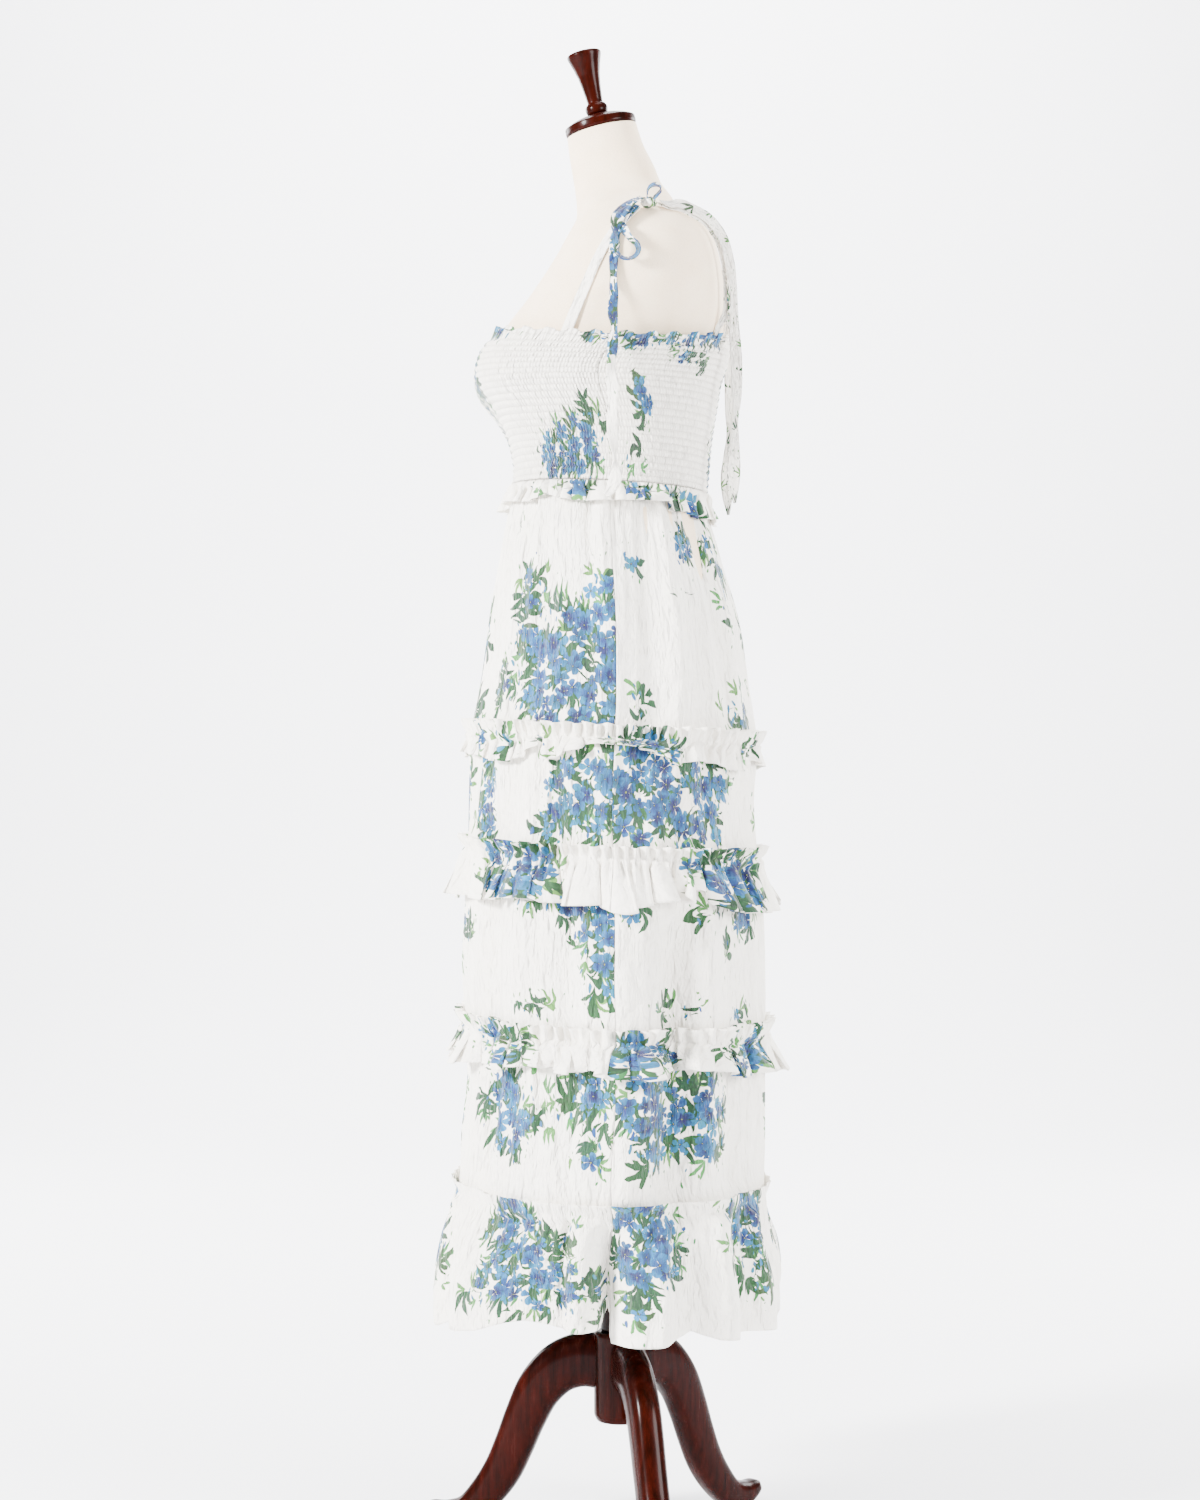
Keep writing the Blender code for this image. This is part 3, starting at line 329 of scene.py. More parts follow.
# The clusters on each piece: angle, height, reach across and up in metres of hung cloth, and strength.
# Flowers need a strength of about 0.5, leaves less and sprigs less again.
PRINT = {
    "bodice_front": [
        (68, 1.225, 0.034, 0.024, 1.15), (72, 1.255, 0.024, 0.020, 0.55), (84, 1.262, 0.020, 0.028, 0.40),
        (55, 1.225, 0.014, 0.020, 0.40), (20, 1.330, 0.016, 0.042, 0.90), (4, 1.270, 0.020, 0.040, 0.75),
        (-30, 1.255, 0.040, 0.030, 1.0), (-66, 1.330, 0.030, 0.022, 0.9), (-80, 1.235, 0.026, 0.030, 0.8),
        (30, 1.372, 0.030, 0.010, 0.6), (84, 1.372, 0.014, 0.008, 0.7),
    ],
    "bodice_back": [
        (128, 1.371, 0.056, 0.009, 1.6), (100, 1.362, 0.012, 0.020, 0.42), (108, 1.285, 0.008, 0.026, 0.85),
        (104, 1.225, 0.018, 0.026, 0.42), (124, 1.345, 0.016, 0.012, 0.50),
        (138, 1.345, 0.018, 0.018, 0.34), (172, 1.230, 0.020, 0.040, 0.7), (182, 1.320, 0.024, 0.026, 0.9),
        (214, 1.262, 0.036, 0.028, 1.0), (252, 1.330, 0.026, 0.022, 0.8),
    ],
    "waist_frill_front": [
        (50, 1.19, 0.016, 0.010, 0.5), (76, 1.19, 0.018, 0.010, 0.6), (-40, 1.19, 0.030, 0.012, 0.9),
        (-78, 1.19, 0.016, 0.012, 0.6),
    ],
    "waist_frill_back": [
        (104, 1.19, 0.014, 0.012, 0.7), (122, 1.19, 0.022, 0.012, 1.0), (140, 1.18, 0.022, 0.012, 0.9),
        (200, 1.19, 0.030, 0.012, 0.8), (246, 1.19, 0.020, 0.012, 0.9),
    ],
    "tier_1_front": [
        (77, 0.985, 0.058, 0.046, 1.25), (62, 1.020, 0.034, 0.036, 0.95), (84, 1.010, 0.030, 0.050, 0.95),
        (86, 1.072, 0.020, 0.042, 0.42), (50, 1.085, 0.026, 0.026, 0.62), (46, 1.000, 0.024, 0.034, 0.42),
        (80, 0.930, 0.036, 0.026, 0.80), (64, 0.955, 0.030, 0.030, 0.70), (36, 0.960, 0.016, 0.034, 0.30),
        (34, 1.150, 0.012, 0.020, 0.22), (4, 1.030, 0.034, 0.030, 0.55), (-24, 1.000, 0.060, 0.050, 1.2),
        (-46, 1.060, 0.034, 0.040, 0.8), (-72, 0.960, 0.034, 0.030, 0.8), (-80, 1.130, 0.026, 0.030, 0.5),
        (14, 0.940, 0.020, 0.020, 0.5),
    ],
    "tier_1_back": [
        (99, 1.118, 0.014, 0.030, 0.36), (133, 1.135, 0.030, 0.020, 0.62), (160, 1.120, 0.030, 0.036, 1.0),
        (156, 1.060, 0.020, 0.030, 0.60), (99, 0.948, 0.014, 0.030, 0.34), (128, 1.080, 0.030, 0.018, 0.20),
        (150, 0.950, 0.022, 0.026, 0.62), (164, 0.960, 0.018, 0.036, 0.50), (198, 1.040, 0.050, 0.050, 1.1),
        (228, 1.100, 0.036, 0.036, 0.8), (248, 0.960, 0.046, 0.036, 1.0), (206, 0.940, 0.030, 0.020, 0.6),
    ],
    "ruffle_1_front": [
        (41, 0.905, 0.018, 0.030, 0.45), (24, 0.905, 0.014, 0.030, 0.70), (62, 0.905, 0.014, 0.020, 0.30),
        (88, 0.905, 0.012, 0.020, 0.45), (-20, 0.905, 0.040, 0.024, 0.9), (-66, 0.905, 0.036, 0.024, 0.8),
    ],
    "ruffle_1_back": [
        (97, 0.905, 0.020, 0.024, 0.95), (108, 0.900, 0.024, 0.020, 0.80), (150, 0.900, 0.016, 0.024, 0.42),
        (166, 0.900, 0.016, 0.024, 0.50), (205, 0.905, 0.040, 0.024, 0.9), (250, 0.905, 0.030, 0.024, 0.7),
    ],
    "tier_2_front": [
        (28, 0.850, 0.018, 0.060, 0.80), (82, 0.850, 0.040, 0.040, 1.10), (73, 0.882, 0.026, 0.022, 0.42),
        (90, 0.880, 0.024, 0.030, 0.70), (64, 0.820, 0.022, 0.026, 0.40), (2, 0.840, 0.034, 0.036, 0.8),
        (-34, 0.860, 0.060, 0.034, 1.1), (-78, 0.840, 0.044, 0.036, 0.9),
    ],
    "tier_2_back": [
        (98, 0.860, 0.030, 0.046, 1.20), (116, 0.850, 0.040, 0.050, 1.25), (134, 0.872, 0.030, 0.030, 0.90),
        (108, 0.895, 0.016, 0.020, 0.42), (128, 0.820, 0.030, 0.022, 0.70), (192, 0.850, 0.046, 0.036, 0.9),
        (238, 0.850, 0.060, 0.040, 1.1),
    ],
    "ruffle_2_front": [
        (46, 0.770, 0.040, 0.036, 1.15), (60, 0.760, 0.030, 0.030, 0.95), (33, 0.770, 0.014, 0.030, 0.45),
        (0, 0.770, 0.030, 0.030, 0.6), (-50, 0.770, 0.050, 0.034, 1.1),
    ],
    "ruffle_2_back": [
        (137, 0.770, 0.046, 0.036, 1.10), (154, 0.765, 0.026, 0.030, 0.70),
        (120, 0.765, 0.014, 0.026, 0.36), (210, 0.770, 0.050, 0.034, 1.0),
    ],
    "tier_3_front": [
        (84, 0.700, 0.026, 0.040, 1.10), (80, 0.735, 0.030, 0.020, 0.80), (58, 0.735, 0.034, 0.014, 0.30),
        (58, 0.625, 0.040, 0.018, 0.30), (84, 0.640, 0.020, 0.030, 0.30), (6, 0.700, 0.040, 0.040, 0.9),
        (-40, 0.680, 0.060, 0.050, 1.1), (-80, 0.710, 0.034, 0.034, 0.7),
    ],
    "tier_3_back": [
        (127, 0.728, 0.026, 0.016, 0.40), (154, 0.722, 0.024, 0.020, 0.70),
        (140, 0.680, 0.026, 0.034, 0.24), (112, 0.620, 0.040, 0.016, 0.28),
        (150, 0.610, 0.026, 0.020, 0.34), (96, 0.730, 0.014, 0.016, 0.36), (196, 0.690, 0.050, 0.044, 1.0),
        (240, 0.670, 0.050, 0.044, 1.0),
    ],
    "ruffle_3_front": [
        (37, 0.570, 0.034, 0.036, 1.15), (54, 0.560, 0.024, 0.034, 0.42), (4, 0.570, 0.040, 0.030, 0.7),
        (-44, 0.570, 0.050, 0.034, 1.0),
    ],
    "ruffle_3_back": [
        (98, 0.565, 0.034, 0.040, 1.20), (150, 0.560, 0.040, 0.036, 1.10), (114, 0.555, 0.014, 0.026, 0.40),
        (216, 0.565, 0.050, 0.034, 1.0),
    ],
    "tier_4_front": [
        (40, 0.520, 0.046, 0.036, 1.15), (50, 0.485, 0.030, 0.030, 0.60), (80, 0.525, 0.034, 0.034, 0.90),
        (84, 0.475, 0.018, 0.030, 0.42), (36, 0.475, 0.024, 0.024, 0.30), (-10, 0.500, 0.050, 0.040, 1.0),
        (-62, 0.500, 0.056, 0.040, 1.0),
    ],
    "tier_4_back": [
        (100, 0.530, 0.030, 0.030, 0.90), (118, 0.505, 0.046, 0.040, 1.10),
        (108, 0.480, 0.030, 0.024, 0.75), (132, 0.520, 0.024, 0.034, 0.50),
        (128, 0.465, 0.030, 0.024, 0.34), (194, 0.500, 0.050, 0.040, 1.0), (240, 0.490, 0.060, 0.040, 1.0),
    ],
    "tier_5_front": [
        (52, 0.385, 0.026, 0.034, 0.95), (58, 0.345, 0.034, 0.034, 0.85), (68, 0.308, 0.050, 0.030, 1.25),
        (54, 0.410, 0.018, 0.022, 0.42), (74, 0.375, 0.026, 0.022, 0.42), (46, 0.300, 0.030, 0.024, 0.42),
        (86, 0.280, 0.014, 0.026, 0.45), (4, 0.350, 0.044, 0.050, 1.0), (-32, 0.320, 0.060, 0.046, 1.1),
        (-70, 0.350, 0.050, 0.044, 1.0),
    ],
    "tier_5_back": [
        (101, 0.385, 0.036, 0.036, 1.20), (104, 0.345, 0.036, 0.024, 0.80), (99, 0.310, 0.022, 0.034, 0.42),
        (136, 0.380, 0.024, 0.040, 0.45), (150, 0.390, 0.030, 0.036, 0.95),
        (150, 0.335, 0.026, 0.036, 0.70), (196, 0.340, 0.050, 0.046, 1.0), (242, 0.350, 0.060, 0.050, 1.1),
    ],
}
# How far each piece's motifs are shifted, so that no two pieces have the same
PRINT_SHIFTS = {name: (0.37 * number, 0.23 * number) for number, name in enumerate(PRINT)}


def arc_lengths(angle, z):
    """How far round the dress each angle is from the left side, in metres, at one height."""
    round_it = np.arange(-90.0, 271.0, 1.0)
    points, _ = surface(DRESS, round_it, np.array([z]), None)
    steps = np.linalg.norm(np.diff(points[0, :, :2], axis=0), axis=1)
    lengths = np.concatenate([[0.0], np.cumsum(steps)])
    lengths -= np.interp(90.0, round_it, lengths)
    return np.interp(angle, round_it, lengths)


def print_values(name, angle, z, gather, middle):
    """The cloth's own coordinates in metres, and how thickly it is printed there with its two slopes.

    angle is one row of columns and z one column of rows. gather is how many metres of cloth hang in one
    metre round the wearer, and middle the height at which the way round is measured.
    """
    across = arc_lengths(angle, middle) * gather
    across, z = np.broadcast_arrays(across, z)
    amount = np.zeros(z.shape)
    slope_across = np.zeros(z.shape)
    slope_up = np.zeros(z.shape)
    for cluster_angle, cluster_z, wide, tall, strength in PRINT[name]:
        wide = wide * gather
        u = (across - arc_lengths(cluster_angle, middle) * gather) / wide
        v = (z - cluster_z) / tall
        here = strength * np.exp(-(u * u + v * v))
        amount += here
        slope_across += -2.0 * u / wide * here
        slope_up += -2.0 * v / tall * here
    bare = np.exp(-amount)
    amount, slope_across, slope_up = 1.0 - bare, slope_across * bare, slope_up * bare
    shift_across, shift_up = PRINT_SHIFTS[name]
    place = np.stack([across + shift_across, z + shift_up, 0.0 * z], axis=-1)
    return {"cloth_at": place, "print_at": np.stack([amount, slope_across, slope_up], axis=-1)}


# Shader nodes


class Value:
    """A number, vector or colour that varies over a surface: one socket. Sums with it become nodes."""

    def __init__(self, shader, socket):
        self.shader = shader
        self.socket = socket

    def __add__(self, other):
        return self.shader.math("ADD", self, other)

    def __sub__(self, other):
        return self.shader.math("SUBTRACT", self, other)

    def __rsub__(self, other):
        return self.shader.math("SUBTRACT", other, self)

    def __mul__(self, other):
        return self.shader.math("MULTIPLY", self, other)

    def __truediv__(self, other):
        return self.shader.math("DIVIDE", self, other)

    def __pow__(self, other):
        return self.shader.math("POWER", self, other)

    def __gt__(self, other):
        return self.shader.math("GREATER_THAN", self, other)

    def __lt__(self, other):
        return self.shader.math("LESS_THAN", self, other)

    def __abs__(self):
        return self.shader.math("ABSOLUTE", self)


class Shader:
    """A small writer of node trees. Its methods take values, numbers or tuples and give values."""

    def __init__(self, name):
        self.material = bpy.data.materials.new(name)
        self.material.use_nodes = True
        self.tree = self.material.node_tree
        self.principled = self.tree.nodes["Principled BSDF"]

    def node(self, kind, inputs=(), **settings):
        made = self.tree.nodes.new(kind)
        for key, value in settings.items():
            setattr(made, key, value)
        for key, value in dict(inputs).items():
            self.plug(made.inputs[key], value)
        return made

    def plug(self, socket, value):
        if isinstance(value, Value):
            self.tree.links.new(value.socket, socket)
        elif value is not None:
            socket.default_value = value

    def math(self, operation, first, second=None, third=None):
        made = self.node("ShaderNodeMath", operation=operation)
        for socket, value in zip(made.inputs, (first, second, third)):
            self.plug(socket, value)
        return Value(self, made.outputs[0])

    def vector(self, operation, first, second=None, scale=None):
        made = self.node("ShaderNodeVectorMath", {0: first, 1: second, 3: scale}, operation=operation)
        return Value(self, made.outputs["Value" if operation == "LENGTH" else "Vector"])

    def split(self, value):
        made = self.node("ShaderNodeSeparateXYZ", {"Vector": value})
        return [Value(self, socket) for socket in made.outputs]

    def join(self, x, y, z=0.0):
        return Value(self, self.node("ShaderNodeCombineXYZ", {"X": x, "Y": y, "Z": z}).outputs[0])

    def attribute(self, name):
        return Value(self, self.node("ShaderNodeAttribute", attribute_name=name).outputs["Vector"])

    def object_place(self):
        return Value(self, self.node("ShaderNodeTexCoord").outputs["Object"])

    def noise(self, place, scale, detail, roughness=0.5, output="Fac"):
        inputs = {"Vector": place, "Scale": scale, "Detail": detail, "Roughness": roughness}
        return Value(self, self.node("ShaderNodeTexNoise", inputs).outputs[output])

    def cells(self, place, randomness):
        """The middle of the nearest cell of a scattered pattern, and the cell's random colour."""
        inputs = {"Vector": place, "Scale": 1.0, "Randomness": randomness}
        made = self.node("ShaderNodeTexVoronoi", inputs, voronoi_dimensions="2D", feature="F1")
        return Value(self, made.outputs["Position"]), Value(self, made.outputs["Color"])

    def mix(self, share, first, second, blend="MIX"):
        inputs = {0: share, 6: first, 7: second}
        made = self.node("ShaderNodeMix", inputs, data_type="RGBA", blend_type=blend, clamp_factor=True)
        return Value(self, made.outputs[2])

    def ramp(self, value, stops):
        made = self.node("ShaderNodeValToRGB", {"Fac": value})
        elements = made.color_ramp.elements
        while len(elements) < len(stops):
            elements.new(1.0)
        for element, (place, colour) in zip(elements, stops):
            element.position = place
            element.color = colour
        return Value(self, made.outputs["Color"])

    def smooth(self, value, low, high):
        inputs = {"Value": value, "From Min": low, "From Max": high}
        made = self.node("ShaderNodeMapRange", inputs, interpolation_type="SMOOTHSTEP")
        return Value(self, made.outputs["Result"])

    def bump(self, height, strength, distance, normal=None):
        inputs = {"Height": height, "Strength": strength, "Distance": distance, "Normal": normal}
        return Value(self, self.node("ShaderNodeBump", inputs).outputs["Normal"])

    def finish(self, colour, roughness, normal=None, constants=()):
        inputs = {"Base Color": colour, "Roughness": roughness, "Normal": normal, **dict(constants)}
        for key, value in inputs.items():
            self.plug(self.principled.inputs[key], value)
        return self.material


TURN = 2 * math.pi
# The fraction of a sine of the first times a whole number, times one of the others, is as good as random
SCRAMBLE = 12.9898
SCRAMBLE_PETALS = 437.58
SCRAMBLE_ROWS = 43758.5453
# The angle between neighbouring leaves of a fan
LEAF_GAP = 0.56


class Motifs:
    """Layers of flowers and leaves scattered over the cloth where it is printed.

    A motif shows in each cell where the print's strength is between lowest and highest, give or take
    half the spread. under is the colour of the layers below.
    """

    def __init__(self, shader, place, amount):
        self.s = shader
        self.place = place
        self.amount, self.slope_across, self.slope_up = shader.split(amount)

    def scatter(self, cell, shift, lowest, highest, spread, randomness=0.8):
        """Each point's place about its motif's middle, three random numbers, and if the motif shows."""
        s = self.s
        scaled = s.vector("ADD", s.vector("SCALE", self.place, scale=1.0 / cell), (*shift, 0.0))
        middle, colour = s.cells(scaled, randomness)
        away = s.vector("SCALE", s.vector("SUBTRACT", scaled, middle), scale=cell)
        x, y, _ = s.split(away)
        chances = s.split(colour)
        there = self.amount - (self.slope_across * x + self.slope_up * y)
        motif_at = s.vector("SCALE", s.vector("SUBTRACT", middle, (*shift, 0.0)), scale=cell)
        ragged = s.noise(motif_at, 20.0, 2.0, 0.6)
        there = there * (ragged * 2.4 - 0.2) + (chances[0] - 0.5) * spread
        shown = there > lowest
        if highest is not None:
            shown = shown * (there < highest)
        return x, y, chances, shown

    def flowers(self, under, colours, cell, shift, lowest, radius, petals=5, spread=0.25):
        """Open flowers of separate rounded petals, each petal painted in its own wash."""
        s = self.s
        x, y, (chance_1, chance_2, chance_3), shown = self.scatter(cell, shift, lowest, None, spread)
        y = y * (chance_1 * 0.5 + 0.9)
        turn = s.math("ARCTAN2", y, x) + chance_2 * TURN
        far = s.vector("LENGTH", s.join(x, y))
        petal_at = turn * (petals / TURN)
        number = s.math("ROUND", petal_at)
        within = petal_at - number
        own = s.math("MULTIPLY_ADD", s.math("WRAP", number, petals, 0.0), SCRAMBLE, chance_1 * 78.2)
        petal_chance = s.math("FRACT", s.math("SINE", own) * SCRAMBLE_PETALS)
        size = (chance_3 * 0.45 + 0.70) * radius * (petal_chance * 0.30 + 0.80)
        across = far / size
        narrow = abs(within) * 2.0
        outline = s.math("POWER", s.math("SUBTRACT", 1.0, narrow ** 2.6), 0.5)
        inside = s.smooth(outline - across, 0.0, 0.09)
        base = s.ramp(s.math("FRACT", petal_chance * 0.55 + chance_1 * 7.3), colours)
        pale = s.mix(chance_3 * 0.5 + 0.2, base, PETAL_LIGHT)
        wash = s.noise(self.place, 260.0, 3.0, 0.6)
        petal = s.mix(s.smooth(across + (wash * 1.1 - 0.55), 0.25, 1.05), base, pale)
        deep = s.mix(0.6, base, PETAL_DEEP)
        petal = s.mix(s.smooth(narrow, 0.62, 1.0), petal, deep)
        petal = s.mix(s.smooth(abs(within), 0.05, 0.0) * 0.35, petal, deep)
        petal = s.mix(s.smooth(across, 0.20, 0.10), petal, PETAL_DEEP)
        petal = s.mix(s.smooth(across, 0.08, 0.04), petal, HEART)
        return s.mix(inside * shown, under, petal)

    def leaves(self, under, colours, cell, shift, lowest, length, half_width,
               highest=None, fan=3, spread=0.2):
        """Fans of pointed leaves that grow out from the middle of their cluster."""
        s = self.s
        x, y, (chance_1, chance_2, chance_3), shown = self.scatter(cell, shift, lowest, highest, spread, 0.7)
        outward = s.math("ARCTAN2", self.slope_up * -1.0, self.slope_across * -1.0) + (chance_2 - 0.5) * 2.4
        sine = s.math("SINE", outward)
        cosine = s.math("COSINE", outward)
        along = x * cosine + y * sine + length * 0.45
        side = y * cosine - x * sine
        turn = s.math("ARCTAN2", side, along)
        far = s.vector("LENGTH", s.join(along, side))
        reach = (fan - 1) / 2 * LEAF_GAP + 0.01
        nearest = s.math("MAXIMUM", s.math("ROUND", turn / LEAF_GAP) * LEAF_GAP, -reach)
        nearest = s.math("MINIMUM", nearest, reach)
        off = turn - nearest
        size = (chance_3 * (0.5 * length) + 0.6 * length) * (1.0 - abs(nearest) * 0.3)
        ahead = far * s.math("COSINE", off) / size
        aside = far * s.math("SINE", off)
        outline = s.math("MAXIMUM", ahead * (1.0 - ahead), 0.0) ** 0.8 * (3.0 * half_width)
        inside = s.smooth(outline - abs(aside), 0.0, 0.0006) * (s.math("COSINE", off) > 0.2)
        base = s.ramp(s.math("FRACT", chance_1 * 5.7), colours)
        light = s.mix(0.5, base, LEAF_LIGHT)
        leaf = s.mix(s.smooth(s.noise(self.place, 200.0, 3.0, 0.6), 0.42, 0.68), base, light)
        leaf = s.mix((aside > 0.0) * 0.28, leaf, light)
        leaf = s.mix(s.smooth(abs(aside), 0.0006, 0.0) * 0.4, leaf, light)
        return s.mix(inside * shown, under, leaf)

    def buds(self, under, colours, cell, shift, lowest, highest, radius):
        """Small dabs of the brush round the edge of a cluster."""
        s = self.s
        x, y, (chance_1, chance_2, chance_3), shown = self.scatter(cell, shift, lowest, highest, 0.3, 0.9)
        lean = (chance_2 - 0.5) * 1.6
        sine = s.math("SINE", lean)
        cosine = s.math("COSINE", lean)
        along = y * cosine + x * sine
        side = x * cosine - y * sine
        far = s.vector("LENGTH", s.join(side * 2.1, along))
        size = chance_3 * (radius * 0.7) + radius * 0.5
        inside = s.smooth(size - far, 0.0, 0.0007)
        return s.mix(inside * shown, under, s.ramp(chance_1, colours))


# Colours of the print and the cloth. They are deeper than they look in bright light.
BLUES = [
    (0.0, linear(0, 58, 106)), (0.22, linear(6, 28, 90)), (0.42, linear(0, 76, 110)),
    (0.62, linear(10, 16, 76)), (0.80, linear(0, 68, 88)), (1.0, linear(2, 40, 98)),
]
PALE_BLUES = [
    (0.0, linear(28, 116, 160)), (0.35, linear(4, 80, 128)), (0.7, linear(12, 106, 128)),
    (1.0, linear(8, 54, 116)),
]
DEEP_BLUES = [(0.0, linear(5, 14, 74)), (0.5, linear(12, 12, 66)), (1.0, linear(4, 8, 48))]
GREENS = [
    (0.0, linear(3, 54, 26)), (0.35, linear(2, 34, 16)), (0.6, linear(16, 62, 22)),
    (0.8, linear(3, 48, 32)), (1.0, linear(36, 58, 16)),
]
PALE_GREENS = [(0.0, linear(58, 132, 62)), (0.5, linear(86, 130, 54)), (1.0, linear(24, 104, 48))]
PETAL_LIGHT = linear(26, 112, 160)
PETAL_DEEP = linear(5, 10, 58)
HEART = linear(110, 122, 40)
LEAF_LIGHT = linear(20, 80, 28)
WHITE_CLOTH = linear(244, 239, 229)
# The colour multiplied into the smocking's hollows and row valleys as painted shade
SMOCK_PAINTED_SHADE = linear(150, 140, 132)
SMOCK_PITCH = 0.0074
PUCKER_PITCH = 0.0060


def floral_print(motifs):
    """The print's layers on white cloth, from the lowest up."""
    colour = motifs.buds(WHITE_CLOTH, PALE_GREENS, cell=0.012, shift=(3.1, 7.7), lowest=0.18, highest=0.45,
                         radius=0.0030)
    colour = motifs.leaves(colour, PALE_GREENS, cell=0.034, shift=(11.3, 2.9), lowest=0.12, highest=0.60,
                           length=0.030, half_width=0.0026, spread=0.18)
    colour = motifs.leaves(colour, GREENS, cell=0.046, shift=(5.2, 9.4), lowest=0.145, length=0.044,
                           half_width=0.0040)
    colour = motifs.leaves(colour, GREENS, cell=0.040, shift=(1.4, 5.9), lowest=0.20, length=0.038,
                           half_width=0.0036, fan=4, spread=0.24)
    colour = motifs.buds(colour, PALE_BLUES, cell=0.014, shift=(1.9, 4.3), lowest=0.28, highest=0.60,
                         radius=0.0046)
    colour = motifs.flowers(colour, PALE_BLUES, cell=0.029, shift=(7.9, 1.3), lowest=0.37, radius=0.0140)
    colour = motifs.leaves(colour, GREENS, cell=0.038, shift=(2.6, 6.1), lowest=0.30, length=0.036,
                           half_width=0.0038, fan=2, spread=0.25)
    colour = motifs.flowers(colour, BLUES, cell=0.031, shift=(0.7, 8.8), lowest=0.42, radius=0.0145)
    colour = motifs.leaves(colour, GREENS, cell=0.040, shift=(8.1, 3.7), lowest=0.60, length=0.036,
                           half_width=0.0036, fan=1, spread=0.7)
    colour = motifs.flowers(colour, DEEP_BLUES, cell=0.037, shift=(9.6, 3.3), lowest=0.46, radius=0.0145,
                            spread=0.30)
    return motifs.flowers(colour, BLUES, cell=0.034, shift=(4.4, 5.5), lowest=0.54, radius=0.0140, petals=4,
                          spread=0.4)


def smocked_rows(s, across, up, colour, normal):
    """Rows of shirring with small puckers between them, and painted shade that darkens the colour in their
    hollows.
    """
    row = up / SMOCK_PITCH
    whole = s.math("FLOOR", row)
    shift = s.math("FRACT", s.math("SINE", whole * SCRAMBLE) * SCRAMBLE_ROWS)
    jitter = s.noise(s.join(across, whole), 70.0, 2.0)
    pucker = s.math("SINE", across * (TURN / PUCKER_PITCH) + shift * TURN + jitter * 7.0)
    ridge = abs(s.math("SINE", row * math.pi))
    normal = s.bump(ridge, 0.7, 0.0016, normal)
    normal = s.bump(pucker, 0.6, 0.0011, normal)
    # Painted shade: the colour is darkened in the puckers' hollows and along the valleys between the rows
    hollow = s.smooth(pucker, -0.2, -1.0) * 0.20 + s.smooth(ridge, 0.55, 0.0) * 0.20
    return s.mix(hollow, colour, SMOCK_PAINTED_SHADE, "MULTIPLY"), normal


def printed_cloth(name, smocked):
    s = Shader(name)
    place = s.attribute("cloth_at")
    amount = s.attribute("print_at")
    bend = s.vector("SUBTRACT", s.noise(place, 90.0, 2.0, output="Color"), (0.5, 0.5, 0.5))
    bent = s.vector("ADD", place, s.vector("SCALE", bend, scale=0.0055))
    if smocked:
        bent = s.vector("MULTIPLY", bent, (1.0, 1.0, 0.0))
    colour = floral_print(Motifs(s, bent, amount))
    across, up, _ = s.split(place)
    weave = s.noise(s.join(across, up * 0.16), 900.0, 2.0)
    crinkle = s.noise(s.join(across, up * 0.22), 150.0, 3.0, 0.6)
    wrinkle = s.noise(s.join(across, up * 0.40), 34.0, 4.0, 0.55)
    normal = s.bump(abs(wrinkle - 0.5), 0.3 if smocked else 1.0, 0.0240)
    normal = s.bump(crinkle, 0.7, 0.0032, normal)
    normal = s.bump(weave, 0.25, 0.0004, normal)
    if smocked:
        colour, normal = smocked_rows(s, across, up, colour, normal)
    return s.finish(colour, 0.86, normal, {"Sheen Weight": 0.2, "Sheen Roughness": 0.5})


def linen_cloth():
    s = Shader("linen")
    place = s.object_place()
    threads = s.noise(s.vector("MULTIPLY", place, (1.0, 1.0, 6.0)), 420.0, 2.0)
    cross = s.noise(s.vector("MULTIPLY", place, (4.0, 4.0, 1.0)), 420.0, 2.0)
    patches = s.noise(place, 34.0, 4.0, 0.65)
    specks = s.noise(place, 700.0, 1.0)
    colour = s.ramp(patches, [(0.3, linear(240, 216, 184)), (0.7, linear(246, 226, 198))])
    weave = (threads + cross) * 0.5
    colour = s.mix(s.smooth(weave, 0.42, 0.60) * 0.30, colour, linear(208, 186, 160))
    colour = s.mix(s.smooth(specks, 0.66, 0.74) * 0.3, colour, linear(176, 150, 122))
    return s.finish(colour, 0.9, s.bump(weave, 0.5, 0.0006), {"Sheen Weight": 0.15})


def lacquered_wood(name, dark, light):
    s = Shader(name)
    place = s.object_place()
    grain = s.noise(s.vector("MULTIPLY", place, (1.0, 1.0, 0.12)), 120.0, 6.0, 0.65)
    pores = s.noise(s.vector("MULTIPLY", place, (1.0, 1.0, 0.05)), 900.0, 2.0)
    colour = s.ramp(grain, [(0.32, dark), (0.62, light)])
    colour = s.mix(s.smooth(pores, 0.58, 0.70) * 0.5, colour, linear(20, 6, 4))
    gloss = {"Specular IOR Level": 0.03, "Coat Weight": 0.05, "Coat Roughness": 0.12}
    return s.finish(colour, grain * 0.12 + 0.20, s.bump(pores, 0.06, 0.0004), gloss)


def brushed_steel():
    s = Shader("steel")
    lines = s.noise(s.vector("MULTIPLY", s.object_place(), (1.0, 1.0, 0.02)), 1500.0, 2.0)
    colour = s.ramp(lines, [(0.3, linear(150, 150, 152)), (0.7, linear(186, 186, 188))])
    return s.finish(colour, 0.35, s.bump(lines, 0.1, 0.0002), {"Metallic": 1.0})


# Cloth panels

